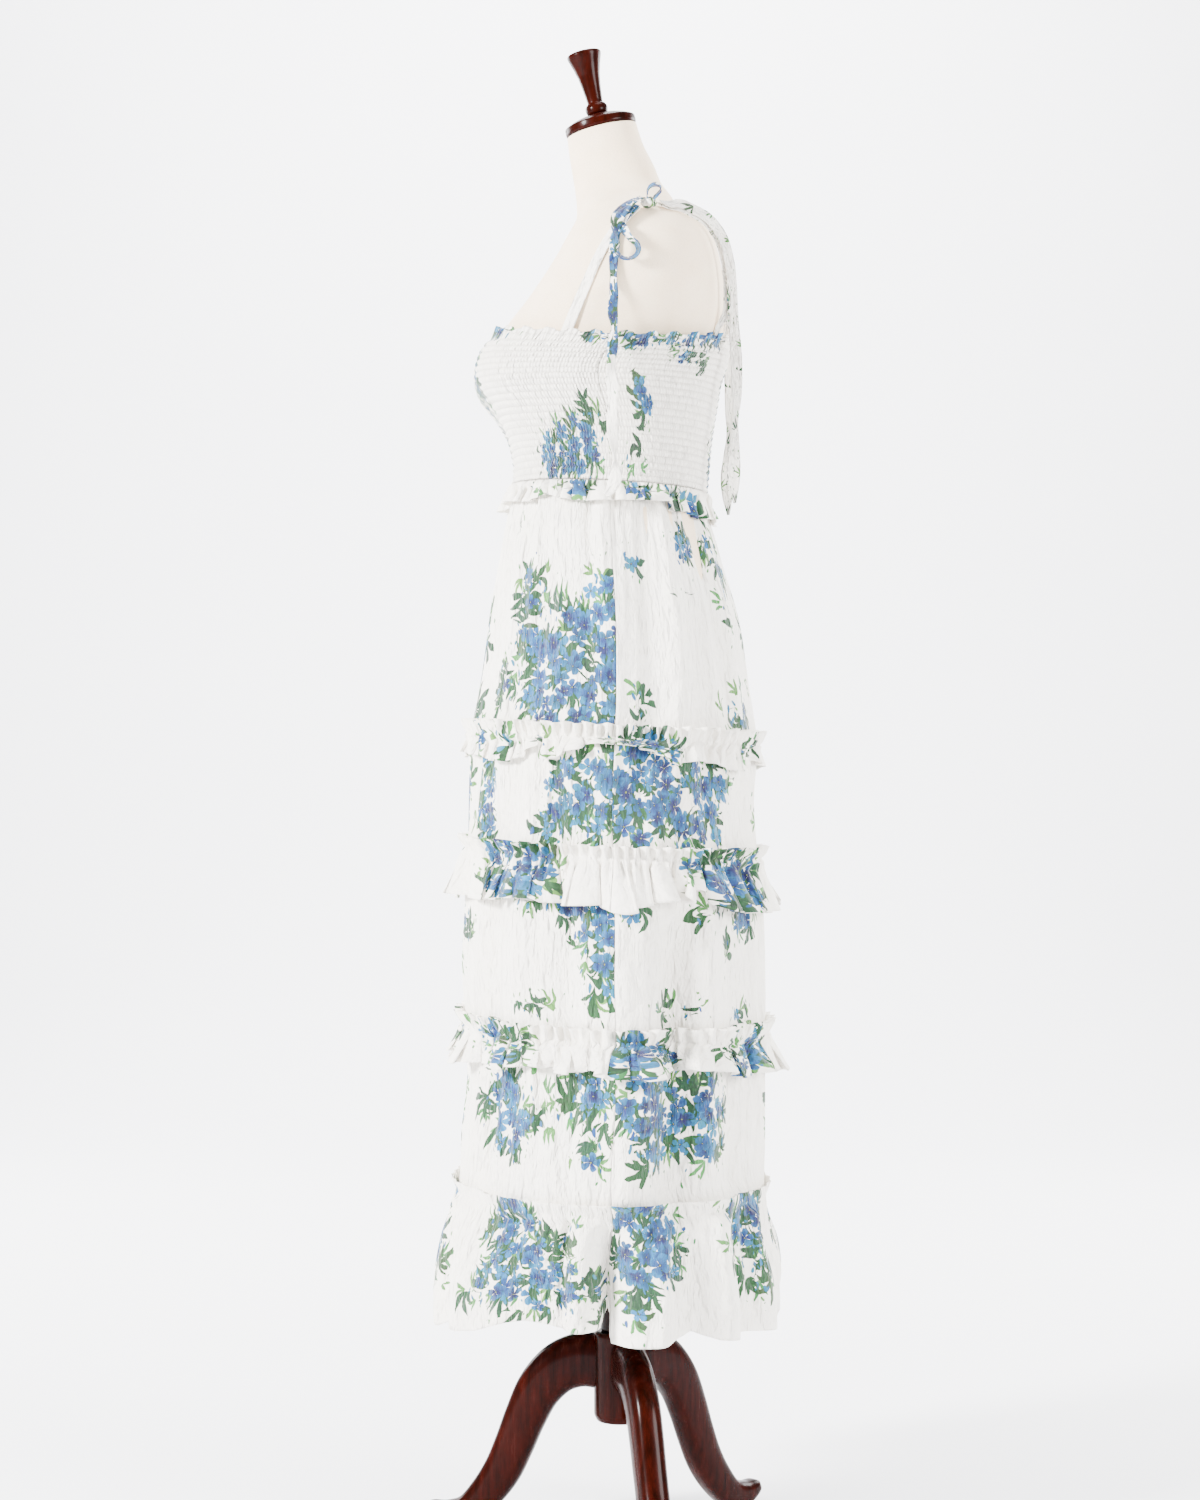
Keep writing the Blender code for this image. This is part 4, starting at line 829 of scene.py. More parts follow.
# Each tier: its seams, rows of its mesh, how many metres of cloth hang in one, and its flat width. Then
# its layers of gathers, as seed, number, depth, length, width in degrees and how much may stay to the end.
Tier = namedtuple("Tier", "name top bottom rows gather wide layers")
TIERS = [
    Tier("tier_1", WAIST, SEAM_1, 60, 1.30, 0.66, [
        (11, 84, 0.0024, 0.070, 1.4, 0.2), (12, 28, 0.0074, 0.22, 3.2, 0.9),
        (13, 60, 0.0017, 0.16, 1.0, 0.8)]),
    Tier("tier_2", SEAM_1, SEAM_2, 32, 1.25, 0.74, [
        (21, 90, 0.0026, 0.040, 1.2, 0.2), (22, 26, 0.0072, 0.20, 3.2, 0.9),
        (23, 56, 0.0016, 0.12, 1.0, 0.8)]),
    Tier("tier_3", SEAM_2, SEAM_3, 42, 1.25, 0.78, [
        (31, 90, 0.0028, 0.050, 1.2, 0.2), (32, 28, 0.0078, 0.20, 3.0, 0.9),
        (33, 56, 0.0018, 0.14, 1.0, 0.8)]),
    Tier("tier_4", SEAM_3, SEAM_4, 40, 1.25, 0.80, [
        (41, 90, 0.0028, 0.050, 1.2, 0.2), (42, 28, 0.0082, 0.20, 3.0, 0.9),
        (43, 56, 0.0018, 0.14, 1.0, 0.8)]),
    Tier("tier_5", SEAM_4, HEM, 42, 1.35, 0.80, [
        (51, 86, 0.0032, 0.070, 1.4, 0.3), (52, 26, 0.0122, 0.30, 3.4, 1.0),
        (53, 50, 0.0024, 0.14, 1.2, 0.9)]),
]
GATHERS = {tier.name: [Gathers(seed, tier.top, *sizes) for seed, *sizes in tier.layers] for tier in TIERS}
TIER_SPANS = {tier.name: (tier.top, tier.bottom) for tier in TIERS}
# A tier's own folds start just under its upper seam and close before its lower one
FOLDS_OPEN = 0.012
FOLDS_CLOSE = 0.030
# Just under the waist the cloth lies on the form, so its folds hardly go in there
ROOM_AT_WAIST = 0.0012
ROOM_BELOW = 0.0120
ROOM_OPENS = 0.10
HALVES = {"front": (-90.0, 90.0), "back": (90.0, 270.0)}
PANEL_COLUMNS = 250
SIDE_GAP = 0.06


def folds_of(tier):
    top, bottom = TIER_SPANS[tier]

    def folds(angle, z):
        share = smoothstep((top - z) / FOLDS_OPEN)
        if tier != "tier_5":
            share = share * smoothstep((z - bottom) / FOLDS_CLOSE)
        total = big_folds(angle, z) + share * sum(gather(angle, z) for gather in GATHERS[tier])
        room = ROOM_AT_WAIST + ROOM_BELOW * smoothstep((WAIST - z) / ROOM_OPENS)
        return np.maximum(total, -room) if tier == "tier_1" else total

    return folds


def panel_angles(half, columns):
    start, end = HALVES[half]
    return np.linspace(start + SIDE_GAP, end - SIDE_GAP, columns)


# Free lower edges seen in the photograph, as angles and heights. The rest wave in the same way.
HEM_EDGE = [
    (22, 0.262), (31, 0.262), (44, 0.270), (55, 0.284), (61, 0.288), (70, 0.284), (77, 0.279), (85.5, 0.279),
    (87.5, 0.296), (89.9, 0.304), (90.1, 0.263), (105, 0.265), (112, 0.270), (118, 0.276), (126, 0.265),
    (135, 0.261), (144, 0.262), (158, 0.257),
]
RUFFLE_1_EDGE = [
    (6, 0.894), (24, 0.890), (41, 0.885), (54, 0.893), (60, 0.908), (64, 0.890), (72, 0.893), (78, 0.907),
    (85, 0.910), (101, 0.908), (109, 0.898), (115, 0.889), (122, 0.895), (133, 0.893), (143, 0.885),
    (154, 0.886), (168, 0.899),
]
RUFFLE_2_EDGE = [
    (4, 0.740), (18, 0.735), (32, 0.731), (46, 0.737), (58, 0.739), (61, 0.746), (65, 0.736), (78, 0.734),
    (85, 0.736), (92, 0.727), (97, 0.734), (106, 0.741), (112, 0.745), (117, 0.739), (122, 0.755),
    (130, 0.731), (142, 0.729), (153, 0.726), (176, 0.727),
]
RUFFLE_3_EDGE = [
    (13, 0.546), (28, 0.552), (42, 0.550), (52, 0.556), (62, 0.560), (73, 0.554), (86, 0.560), (91, 0.551),
    (98, 0.550), (107, 0.560), (114, 0.554), (121, 0.560), (132, 0.554), (146, 0.543), (160, 0.546),
    (176, 0.541),
]
WAIST_FRILL_EDGE = [
    (7, 1.181), (28, 1.177), (47, 1.175), (55, 1.185), (63, 1.179), (77, 1.175), (85, 1.176), (106, 1.180),
    (118, 1.180), (125, 1.170), (136, 1.172), (147, 1.166), (165, 1.172),
]


def edge_height(table, angle, seed):
    """The height of a free edge: as the table says where it reaches, and waving alike elsewhere."""
    rows = np.array(table)
    draw = np.random.default_rng(seed)
    middle = rows[:, 1].mean()
    reach = rows[:, 1].std() * 1.1
    wave = middle + 0.0 * angle
    for turns in (4, 7, 9, 13):
        swing = reach * draw.uniform(0.4, 0.9)
        wave = wave + swing * np.sin(np.radians(angle * turns) + draw.uniform(*ANY_PHASE))
    known = np.interp(angle, rows[:, 0], rows[:, 1])
    share = smoothstep((angle - rows[0, 0] + 8) / 8) * smoothstep((rows[-1, 0] + 8 - angle) / 8)
    return known * share + wave * (1 - share)


cloth = printed_cloth("printed cloth", False)
smocked_cloth = printed_cloth("smocked printed cloth", True)
linen = linen_cloth()
mahogany = lacquered_wood("dark wood", linear(16, 2, 0), linear(38, 6, 2))
dark_collar = lacquered_wood("dark collar", linear(10, 3, 2), linear(24, 7, 4))
steel = brushed_steel()


def place_piece(made, finish, node, body="form"):
    made.data.materials.clear()
    made.data.materials.append(finish)
    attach(made, body)
    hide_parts(node)
    return made


# The bottom flounce's header stands free above its stitching, a little fluted
HEADER = 0.014
HEADER_ROWS = 7
HEADER_LIFT = 0.0065
HEADER_FLUTE = 0.0016
# How far a tier's top is under its seam
UNDER_SEAM = 0.0002


def header_of(tier, name, angle):
    rise = np.linspace(HEADER, 0.0012, HEADER_ROWS)
    base, out = surface(DRESS, angle, tier.top + rise, folds_of("tier_4"))
    flute = HEADER_FLUTE * np.sin(np.radians(angle * 46 + 60 * np.sin(np.radians(angle * 5))))
    lift = STITCH_LIFT + (rise / HEADER)[:, None] * (HEADER_LIFT + flute[None, :])
    middle = (tier.top + tier.bottom) / 2
    values = print_values(name, angle, tier.top + rise[:, None], tier.gather, middle)
    return base + out * lift[..., None], values


def tier_panel(tier, half):
    name = tier.name + "_" + half
    angle = panel_angles(half, PANEL_COLUMNS)
    z = np.linspace(tier.top - UNDER_SEAM, tier.bottom, tier.rows)
    points, normals = surface(DRESS, angle, z, folds_of(tier.name))
    values = print_values(name, angle, z[:, None], tier.gather, (tier.top + tier.bottom) / 2)
    length = tier.top - tier.bottom
    if tier.name == "tier_5":
        share = ((tier.top - z) / length)[:, None]
        rise = edge_height(HEM_EDGE, angle, 3) - HEM
        points[..., 2] += rise[None, :] * share
        header, header_values = header_of(tier, name, angle)
        points = np.concatenate([header, points + normals * STITCH_LIFT])
        values = {key: np.concatenate([header_values[key], values[key]]) for key in values}
        length += HEADER
    made = grid_object(name + "_cloth", points, values, thickness=CLOTH_THICKNESS)
    place_piece(made, cloth, name)


for tier in TIERS:
    for half in HALVES:
        tier_panel(tier, half)

# Ruffles

# Each ruffle: its seam, how far it goes above and below that, the tier under it, how far it stands out and
# swings, its flutes and their seed, how many metres of cloth hang in one, its flat width and its free edge
Ruffle = namedtuple("Ruffle", "name seam above below tier flare swing flutes seed gather wide edge")
RUFFLES = [
    Ruffle("waist_frill", WAIST, 0.000, 0.022, "tier_1", 0.0066, 0.0048, 34, 5, 1.5, 0.62, WAIST_FRILL_EDGE),
    Ruffle("ruffle_1", SEAM_1, 0.015, 0.035, "tier_2", 0.0060, 0.0066, 30, 7, 1.4, 0.84, RUFFLE_1_EDGE),
    Ruffle("ruffle_2", SEAM_2, 0.013, 0.056, "tier_3", 0.0145, 0.0115, 25, 9, 1.4, 0.84, RUFFLE_2_EDGE),
    Ruffle("ruffle_3", SEAM_3, 0.016, 0.057, "tier_4", 0.0140, 0.0115, 25, 13, 1.4, 0.84, RUFFLE_3_EDGE),
]
RUFFLE_COLUMNS = 340
RUFFLE_ROWS_ABOVE = 6
RUFFLE_ROWS_BELOW = 15
FINE_FLUTES = 92
FINE_DEPTH = 0.0021
GATHERED_NEAR = 0.022


def uneven_wave(angle, count, seed):
    """A wave round the wearer whose crests are unevenly spaced and high, as its phase and height."""
    draw = np.random.default_rng(seed)
    phase = np.radians(angle) * count
    height = np.ones_like(phase)
    for turns in (2, 3, 5, 7, 11):
        turned = np.radians(angle) * turns
        phase = phase + draw.uniform(0.25, 0.9) * np.sin(turned + draw.uniform(*ANY_PHASE))
        height = height + draw.uniform(0.05, 0.22) * np.sin(turned * 2 + draw.uniform(*ANY_PHASE))
    return phase, height


def ruffle_panel(ruffle, half):
    name = ruffle.name + "_" + half
    angle = panel_angles(half, RUFFLE_COLUMNS)
    above = np.linspace(-ruffle.above, 0.0, RUFFLE_ROWS_ABOVE)[:-1] if ruffle.above else np.zeros(0)
    below = np.linspace(0.0, 1.0, RUFFLE_ROWS_BELOW) * ruffle.below
    along = np.concatenate([above, below])[:, None]
    phase, height = uneven_wave(angle, ruffle.flutes, ruffle.seed)
    fine, fine_height = uneven_wave(angle, FINE_FLUTES, ruffle.seed + 100)
    down = np.clip(along, 0.0, None) / ruffle.below
    up = np.clip(-along, 0.0, None) / max(ruffle.above, 0.001)
    near_seam = np.exp(-((down * ruffle.below / GATHERED_NEAR) ** 2))
    gathers = FINE_DEPTH * np.sin(fine) * fine_height * (0.3 + 0.7 * near_seam)
    gathers = gathers * (0.4 + smoothstep(np.abs(along) / 0.004))
    swing = ruffle.swing * np.sin(phase) * height * down ** 1.1
    curl = 0.0020 * np.sin(phase * 2 + 1.0) * down ** 2
    out = STITCH_LIFT + 0.0012 + ruffle.flare * down ** 0.85 + swing + curl + gathers
    out = out + 0.0056 * up + 0.0026 * np.sin(fine + 0.8) * up
    out = np.maximum(out, STITCH_LIFT + 0.0006 + 0.0025 * down)
    base, normal = surface(DRESS, angle, ruffle.seam - along[:, 0], folds_of(ruffle.tier))
    points = base + normal * out[..., None]
    rise = edge_height(ruffle.edge, angle, ruffle.seed) - (ruffle.seam - ruffle.below)
    points[..., 2] += rise[None, :] * down + 0.0012 * np.sin(fine * 0.5 + 1.0) * up
    sideways = np.stack([-normal[..., 1], normal[..., 0], 0 * normal[..., 0]], axis=-1)
    points += sideways * (0.45 * ruffle.swing * np.sin(phase * 2) * down)[..., None]
    values = print_values(name, angle, ruffle.seam - along, ruffle.gather, ruffle.seam)
    made = grid_object(name + "_cloth", points, values, thickness=CLOTH_THICKNESS)
    place_piece(made, cloth, name)


for ruffle in RUFFLES:
    for half in HALVES:
        ruffle_panel(ruffle, half)

# Bodice

BODICE_TOP = 1.3765
FRILL = 0.0135
BODICE_COLUMNS = 264
ROWS_PER_PITCH = 4
BODICE_GATHER = 1.7
BODICE_MIDDLE = 1.28
PUFF = 0.0024
PUCKER = 0.00050
FINE_PUCKERS = 130
FRILL_FLUTES = 62


def bodice_panel(half):
    name = "bodice_" + half
    angle = panel_angles(half, BODICE_COLUMNS)
    rows = int((BODICE_TOP - FRILL - WAIST) / SMOCK_PITCH * ROWS_PER_PITCH)
    z = np.concatenate([np.linspace(BODICE_TOP, BODICE_TOP - FRILL, 9)[:-1],
                        np.linspace(BODICE_TOP - FRILL, WAIST + 0.0004, rows)])
    points, normals = surface(DRESS, angle, z, big_folds)
    down = (BODICE_TOP - z)[:, None]
    puff = np.abs(np.sin(np.pi * (down - FRILL) / SMOCK_PITCH)) ** 0.7
    fine, fine_height = uneven_wave(angle, FINE_PUCKERS, 3)
    gather = PUCKER * np.sin(fine + 3.0 * np.floor((down - FRILL) / SMOCK_PITCH)) * fine_height * puff
    smocking = (PUFF * puff + gather) * (down > FRILL)
    phase, height = uneven_wave(angle, FRILL_FLUTES, 17)
    share = np.clip(1.0 - down / FRILL, 0.0, 1.0)
    frill = share * (0.0015 + 0.0026 * np.sin(phase) * height)
    points += normals * (smocking + frill - 0.0006)[..., None]
    sideways = np.stack([-normals[..., 1], normals[..., 0], 0 * normals[..., 0]], axis=-1)
    points += sideways * (share * 0.0012 * np.sin(2 * phase))[..., None]
    points[..., 2] += share * 0.0022 * np.sin(phase * 0.5 + 1.0)
    values = print_values(name, angle, z[:, None], BODICE_GATHER, BODICE_MIDDLE)
    values["cloth_at"][..., 1] = (z - (BODICE_TOP - FRILL))[:, None]
    made = grid_object(name + "_cloth", points, values, thickness=CLOTH_THICKNESS)
    place_piece(made, smocked_cloth, name)


for half in HALVES:
    bodice_panel(half)

# Form

angle = np.arange(0.0, 360.0, 3.0)
z = np.concatenate([np.linspace(1.6143, 1.50, 45), np.linspace(1.498, 0.93, 75)])
points, _ = surface(FORM, angle, z, None)
torso = capped(grid_object("form_linen", points, closed=True))
torso.data.set_sharp_from_angle(angle=SHARP)
place_piece(torso, linen, "form_torso")

CAP_AT = Vector((0.0, -0.0210, 1.6146)) + Vector(POLE)
CAP_LEAN = math.radians(13.2)
CAP_PROFILE = [
    (0.0, 0.0195), (0.0150, 0.0186), (0.0240, 0.0166), (0.0330, 0.0137), (0.0392, 0.0108), (0.0410, 0.0096),
    (0.0412, 0.0030), (0.0398, 0.0004), (0.0, 0.0004),
]
FINIAL_PROFILE = [
    (0.0, 0.0748), (0.0110, 0.0746), (0.0186, 0.0732), (0.0200, 0.0708), (0.0192, 0.0676), (0.0160, 0.0580),
    (0.0128, 0.0460), (0.0106, 0.0320), (0.0092, 0.0190), (0.0088, 0.0140), (0.0112, 0.0122),
    (0.0128, 0.0090), (0.0128, 0.0050), (0.0116, 0.0018), (0.0080, 0.0), (0.0, 0.0),
]


def leaning(made, lift):
    turn = Matrix.Translation(CAP_AT) @ Matrix.Rotation(CAP_LEAN, 4, "X") @ Matrix.Translation((0, 0, lift))
    made.data.transform(turn @ Matrix.Translation(-Vector(POLE)))
    return made


FINIAL_LIFT = 0.0188
TURNED_CORNER = 0.0012
cap = leaning(lathe("neck_cap_wood", rounded(CAP_PROFILE, TURNED_CORNER)), 0.0)
place_piece(cap, mahogany, "neck_cap")
finial = leaning(lathe("finial_wood", rounded(FINIAL_PROFILE, TURNED_CORNER)), FINIAL_LIFT)
place_piece(finial, mahogany, "finial")

# Stand

HUB_PROFILE = [(0.0165, 0.2360), (0.0270, 0.2360), (0.0300, 0.2330), (0.0300, 0.1400), (0.0262, 0.1322),
               (0.0165, 0.1322)]
COLLAR_PROFILE = [(0.0165, 0.2638), (0.0205, 0.2638), (0.0224, 0.2620), (0.0224, 0.2380), (0.0212, 0.2364),
                  (0.0165, 0.2364)]
hub = lathe("hub_wood", rounded(HUB_PROFILE, 0.003))
place_piece(hub, mahogany, "hub", "stand")
collar = lathe("collar_wood", rounded(COLLAR_PROFILE, 0.001))
place_piece(collar, dark_collar, "collar", "stand")

# The leg's middle line: reach, height, depth, width and steepness
LEG = np.array([
    (0.0240, 0.2030, 0.0640, 0.0370, 0), (0.0480, 0.2025, 0.0620, 0.0370, 6),
    (0.0740, 0.1910, 0.0580, 0.0370, 32), (0.0970, 0.1660, 0.0530, 0.0365, 54),
    (0.1130, 0.1340, 0.0490, 0.0360, 66), (0.1265, 0.1010, 0.0465, 0.0355, 67),
    (0.1415, 0.0690, 0.0445, 0.0350, 60), (0.1620, 0.0410, 0.0405, 0.0340, 42),
    (0.1870, 0.0190, 0.0360, 0.0320, 16), (0.2110, 0.0155, 0.0290, 0.0290, -8),
    (0.2290, 0.0205, 0.0190, 0.0230, -24), (0.2350, 0.0235, 0.0080, 0.0120, -30),
])
LEGS = {"leg_left": 15, "leg_back": 135, "leg_front": -105}
SOLE = 0.0030
LEG_ROWS = 90
LEG_FULLNESS = 2.6


def leg_mesh(name, degrees):
    steps = np.arange(len(LEG), dtype=float)
    fine = np.linspace(0.0, len(LEG) - 1.0, LEG_ROWS)
    reach, height, depth, width, steep = [curve(steps, LEG[:, column], fine) for column in range(5)]
    side = np.radians(np.arange(0.0, 360.0, 7.5))
    across = np.sign(np.cos(side)) * np.abs(np.cos(side)) ** (2 / LEG_FULLNESS)
    along = np.sign(np.sin(side)) * np.abs(np.sin(side)) ** (2 / LEG_FULLNESS)
    lean = np.radians(steep)
    out = reach[:, None] + np.sin(lean)[:, None] * along * depth[:, None] / 2
    up = height[:, None] + np.cos(lean)[:, None] * along * depth[:, None] / 2
    aside = across * width[:, None] / 2
    up = np.maximum(up - SOLE, 0.0)
    cosine, sine = math.cos(math.radians(degrees)), math.sin(math.radians(degrees))
    points = np.stack([out * cosine - aside * sine, out * sine + aside * cosine, up], axis=-1)
    made = capped(grid_object(name + "_wood", points, closed=True))
    made.data.set_sharp_from_angle(angle=math.radians(60))
    return made


for name, degrees in LEGS.items():
    place_piece(leg_mesh(name, degrees), mahogany, name, "stand")

for node in ("stand_tube", "pole"):
    bpy.data.objects[node].material_slots[0].material = steel

# Ties

Tie = namedtuple("Tie", "x y z width lift turn", defaults=(0.0,))
LAID = 0.0016
LAID_OVER = 0.0040
# Each row is a point, the tie's width, its height over the form where it lies on it, and its turn from flat
FRONT_STRAP = [
    Tie(0.1480, -0.0620, 1.3480, 0.0125, 0.0036), Tie(0.1520, -0.0560, 1.3660, 0.0125, 0.0036),
    Tie(0.1590, -0.0470, 1.3900, 0.0122, 0.0025), Tie(0.1650, -0.0350, 1.4170, 0.0120, LAID),
    Tie(0.1620, -0.0220, 1.4400, 0.0120, LAID), Tie(0.1560, -0.0100, 1.4590, 0.0120, LAID),
    Tie(0.1500, 0.0020, 1.4760, 0.0120, LAID), Tie(0.1440, 0.0110, 1.4880, 0.0110, LAID),
    Tie(0.1400, 0.0180, 1.4960, 0.0100, 0.0045),
]
BACK_STRAP = [
    Tie(0.1290, 0.0420, 1.5040, 0.0100, 0.0045, 0), Tie(0.1250, 0.0510, 1.5045, 0.0110, 0.0028, -15),
    Tie(0.1190, 0.0630, 1.5030, 0.0120, 0.0054, -35), Tie(0.1130, 0.0780, 1.4990, 0.0120, 0.0062, -45),
    Tie(0.1060, 0.0945, 1.4930, 0.0120, None, -50), Tie(0.1000, 0.1090, 1.4760, 0.0120, None, -60),
    Tie(0.0950, 0.1175, 1.4500, 0.0120, None, -60), Tie(0.0890, 0.1210, 1.4180, 0.0120, None, -60),
    Tie(0.0840, 0.1190, 1.3940, 0.0110, None, -45), Tie(0.0810, 0.1085, 1.3740, 0.0110, None, -10),
    Tie(0.0800, 0.1060, 1.3560, 0.0110, None, 0),
]
FRONT_TAIL = [
    Tie(0.1400, 0.0175, 1.4960, 0.0090, 0.0066), Tie(0.1440, 0.0110, 1.4880, 0.0100, LAID_OVER),
    Tie(0.1510, 0.0040, 1.4760, 0.0105, LAID_OVER), Tie(0.1590, -0.0030, 1.4600, 0.0105, LAID_OVER),
    Tie(0.1740, -0.0075, 1.4400, 0.0105, LAID_OVER), Tie(0.1795, -0.0085, 1.4180, 0.0090, None, -28),
    Tie(0.1812, -0.0080, 1.4000, 0.0100, None, 10), Tie(0.1812, -0.0092, 1.3820, 0.0120, None, 24),
    Tie(0.1814, -0.0078, 1.3640, 0.0088, None, -38), Tie(0.1815, -0.0092, 1.3440, 0.0122, None, 6),
    Tie(0.1815, -0.0110, 1.3220, 0.0110, None, 30), Tie(0.1815, -0.0096, 1.3000, 0.0128, None, -14),
    Tie(0.1814, -0.0088, 1.2780, 0.0112, None, -34), Tie(0.1812, -0.0094, 1.2560, 0.0128, None, 8),
    Tie(0.1810, -0.0078, 1.2340, 0.0104, None, 34), Tie(0.1808, -0.0066, 1.2200, 0.0054, None, 62),
    Tie(0.1806, -0.0060, 1.2100, 0.0110, None, 10), Tie(0.1804, -0.0066, 1.1980, 0.0146, None, -10),
    Tie(0.1802, -0.0100, 1.1890, 0.0125, None, 0), Tie(0.1798, -0.0170, 1.1810, 0.0060, None, 10),
]
TAIL_BESIDE = 0.0026
TAIL_ABOVE = 0.0030
BACK_TAIL_ROWS_BESIDE = 8
BACK_TAIL = [
    Tie(0.0850, 0.1265, 1.3850, 0.0125, None, -60), Tie(0.0840, 0.1300, 1.3400, 0.0135, None, -72),
    Tie(0.0840, 0.1300, 1.3000, 0.0118, None, -60), Tie(0.0840, 0.1292, 1.2720, 0.0070, None, -40),
    Tie(0.0840, 0.1278, 1.2480, 0.0110, None, -70), Tie(0.0840, 0.1268, 1.2200, 0.0155, None, -75),
    Tie(0.0840, 0.1275, 1.1980, 0.0110, None, -70), Tie(0.0840, 0.1282, 1.1800, 0.0030, None, -65),
]
LOOP_OUT = [
    Tie(0.1350, 0.0235, 1.5020, 0.0080, 0.0126, 0), Tie(0.1450, 0.0120, 1.4925, 0.0130, 0.0135, 0),
    Tie(0.1540, 0.0030, 1.4810, 0.0150, 0.0140, 10), Tie(0.1610, -0.0015, 1.4710, 0.0135, 0.0150, 40),
    Tie(0.1680, -0.0035, 1.4620, 0.0105, 0.0160, 70),
]
LOOP_BACK = [
    Tie(0.1700, 0.0065, 1.4640, 0.0100, 0.0110, 50), Tie(0.1600, 0.0025, 1.4720, 0.0110, 0.0078, 0),
    Tie(0.1480, 0.0090, 1.4860, 0.0110, 0.0085, 0), Tie(0.1430, 0.0150, 1.4940, 0.0085, 0.0095, 0),
]
RING_AT = np.array([0.1870, 0.0068, 1.4475])
RING_DEPTH = 0.0120
RING_HEIGHT = 0.0105
RING_WIDTH = 0.0100
RING_FLARE = 30
RING_ANGLES = [150, 175, 200, 225, 250, 275, 300, 325, 350, 375, 400, 420]
SHORT_LOOP = [
    (0.0050, 0.0056), (0.0095, 0.0110), (0.0125, 0.0165), (0.0100, 0.0210), (0.0040, 0.0215),
    (-0.0010, 0.0180), (-0.0025, 0.0120), (-0.0015, 0.0068),
]
SHORT_LOOP_WIDTH = 0.0110
KNOT = np.array([0.1345, 0.0300, 1.5000])
KNOT_LIFT = 0.0066
RIBBON_COLUMNS = 7
RIBBON_STEP = 0.0022


def unit(vector):
    return vector / np.linalg.norm(vector)


def form_level(point):
    """Nearly how many radii a point is outside the form: 0 on its surface."""
    front, back, wide, square, _, _ = [float(value[0]) for value in sections(FORM, np.array([point[2]]))]
    middle = (front + back) / 2
    half = (back - front) / 2
    return (abs(point[0] / wide) ** square + abs((point[1] - middle) / half) ** square) ** (1 / square) - 1


def form_slope(point):
    step = 0.0005
    slope = []
    for axis in range(3):
        shift = np.zeros(3)
        shift[axis] = step
        slope.append((form_level(point + shift) - form_level(point - shift)) / (2 * step))
    return np.array(slope)


def seated(point, lift):
    """The point above the form's surface by lift, nearest to a point close to it."""
    point = np.array(point, float)
    for _ in range(6):
        slope = form_slope(point)
        point = point - slope * (form_level(point) / slope.dot(slope))
    return point + unit(form_slope(point)) * lift


def run_at(points, index):
    return unit(points[min(index + 1, len(points) - 1)] - points[max(index - 1, 0)])


def laid(rows):
    """A tie's points, and the directions of its width."""
    points = [np.array(row[:3]) if row.lift is None else seated(row[:3], row.lift) for row in rows]
    spreads = []
    for index, row in enumerate(rows):
        outward = unit(form_slope(points[index]))
        flat = unit(np.cross(run_at(points, index), outward))
        turn = math.radians(row.turn)
        spreads.append(unit(flat * math.cos(turn) + outward * math.sin(turn)))
    return points, spreads, [row.width for row in rows]


def back_tail_route():
    strap, strap_spreads, _ = laid(BACK_STRAP)
    points, spreads = [], []
    for index in range(BACK_TAIL_ROWS_BESIDE):
        spread = strap_spreads[index]
        face = unit(np.cross(run_at(strap, index), spread))
        if face[0] < 0:
            face = -face
        if index == 0:
            face = unit(form_slope(strap[0]))
        rise = spread if spread.dot(form_slope(strap[index])) > 0 else -spread
        points.append(strap[index] + face * TAIL_BESIDE + rise * (TAIL_ABOVE if index > 1 else 0.0))
        spreads.append(spread)
    hanging, hanging_spreads, hanging_widths = laid(BACK_TAIL)
    widths = [row.width for row in BACK_STRAP[:BACK_TAIL_ROWS_BESIDE]] + hanging_widths
    return points + hanging, spreads + hanging_spreads, widths


def long_loop_route():
    out, out_spreads, out_widths = laid(LOOP_OUT)
    back, back_spreads, back_widths = laid(LOOP_BACK)
    flare = math.radians(RING_FLARE)
    ring, ring_spreads = [], []
    for degrees in RING_ANGLES:
        turn = math.radians(degrees)
        radial = np.array([0.0, math.cos(turn), math.sin(turn)])
        ring.append(RING_AT + radial * np.array([0.0, RING_DEPTH, RING_HEIGHT]))
        ring_spreads.append(np.array([math.cos(flare), 0.0, 0.0]) + radial * math.sin(flare))
    widths = out_widths + [RING_WIDTH] * len(ring) + back_widths
    return out + ring + back, out_spreads + ring_spreads + back_spreads, widths


def short_loop_route():
    upward = unit(form_slope(KNOT))
    sideways = unit(np.cross([0.0, 1.0, 0.0], upward))
    forward = np.cross(upward, sideways)
    middle = seated(KNOT, KNOT_LIFT)
    points = [middle + forward * along + upward * up for along, up in SHORT_LOOP]
    return points, [sideways] * len(points), [SHORT_LOOP_WIDTH] * len(points)


# Each tie's route, and how thickly it is printed along its length
TIES = {
    "strap_front": (laid(FRONT_STRAP), lambda t: 0.0 * t),
    "strap_back": (laid(BACK_STRAP), lambda t: 0.07 + 0.09 * np.exp(-((t - 0.35) / 0.08) ** 2)),
    "tail_front": (laid(FRONT_TAIL), lambda t: 1.25 * smoothstep((0.58 - t) / 0.08) + 0.05),
    "tail_back": (back_tail_route(),
                  lambda t: 0.07 + 0.11 * np.exp(-((t - 0.45) / 0.06) ** 2) + 0.07 * (t > 0.84)),
    "loop_long": (long_loop_route(), lambda t: 1.3 - 0.7 * smoothstep((t - 0.45) / 0.2)),
    "loop_short": (short_loop_route(), lambda t: 0.8 + 0.0 * t),
}
# How much smaller the motifs are than on the panels, and where only sprigs show
MOTIF_SCALE = 1.2
SPRIG_SCALE = {"strap_back": 2.1, "tail_back": 2.1}


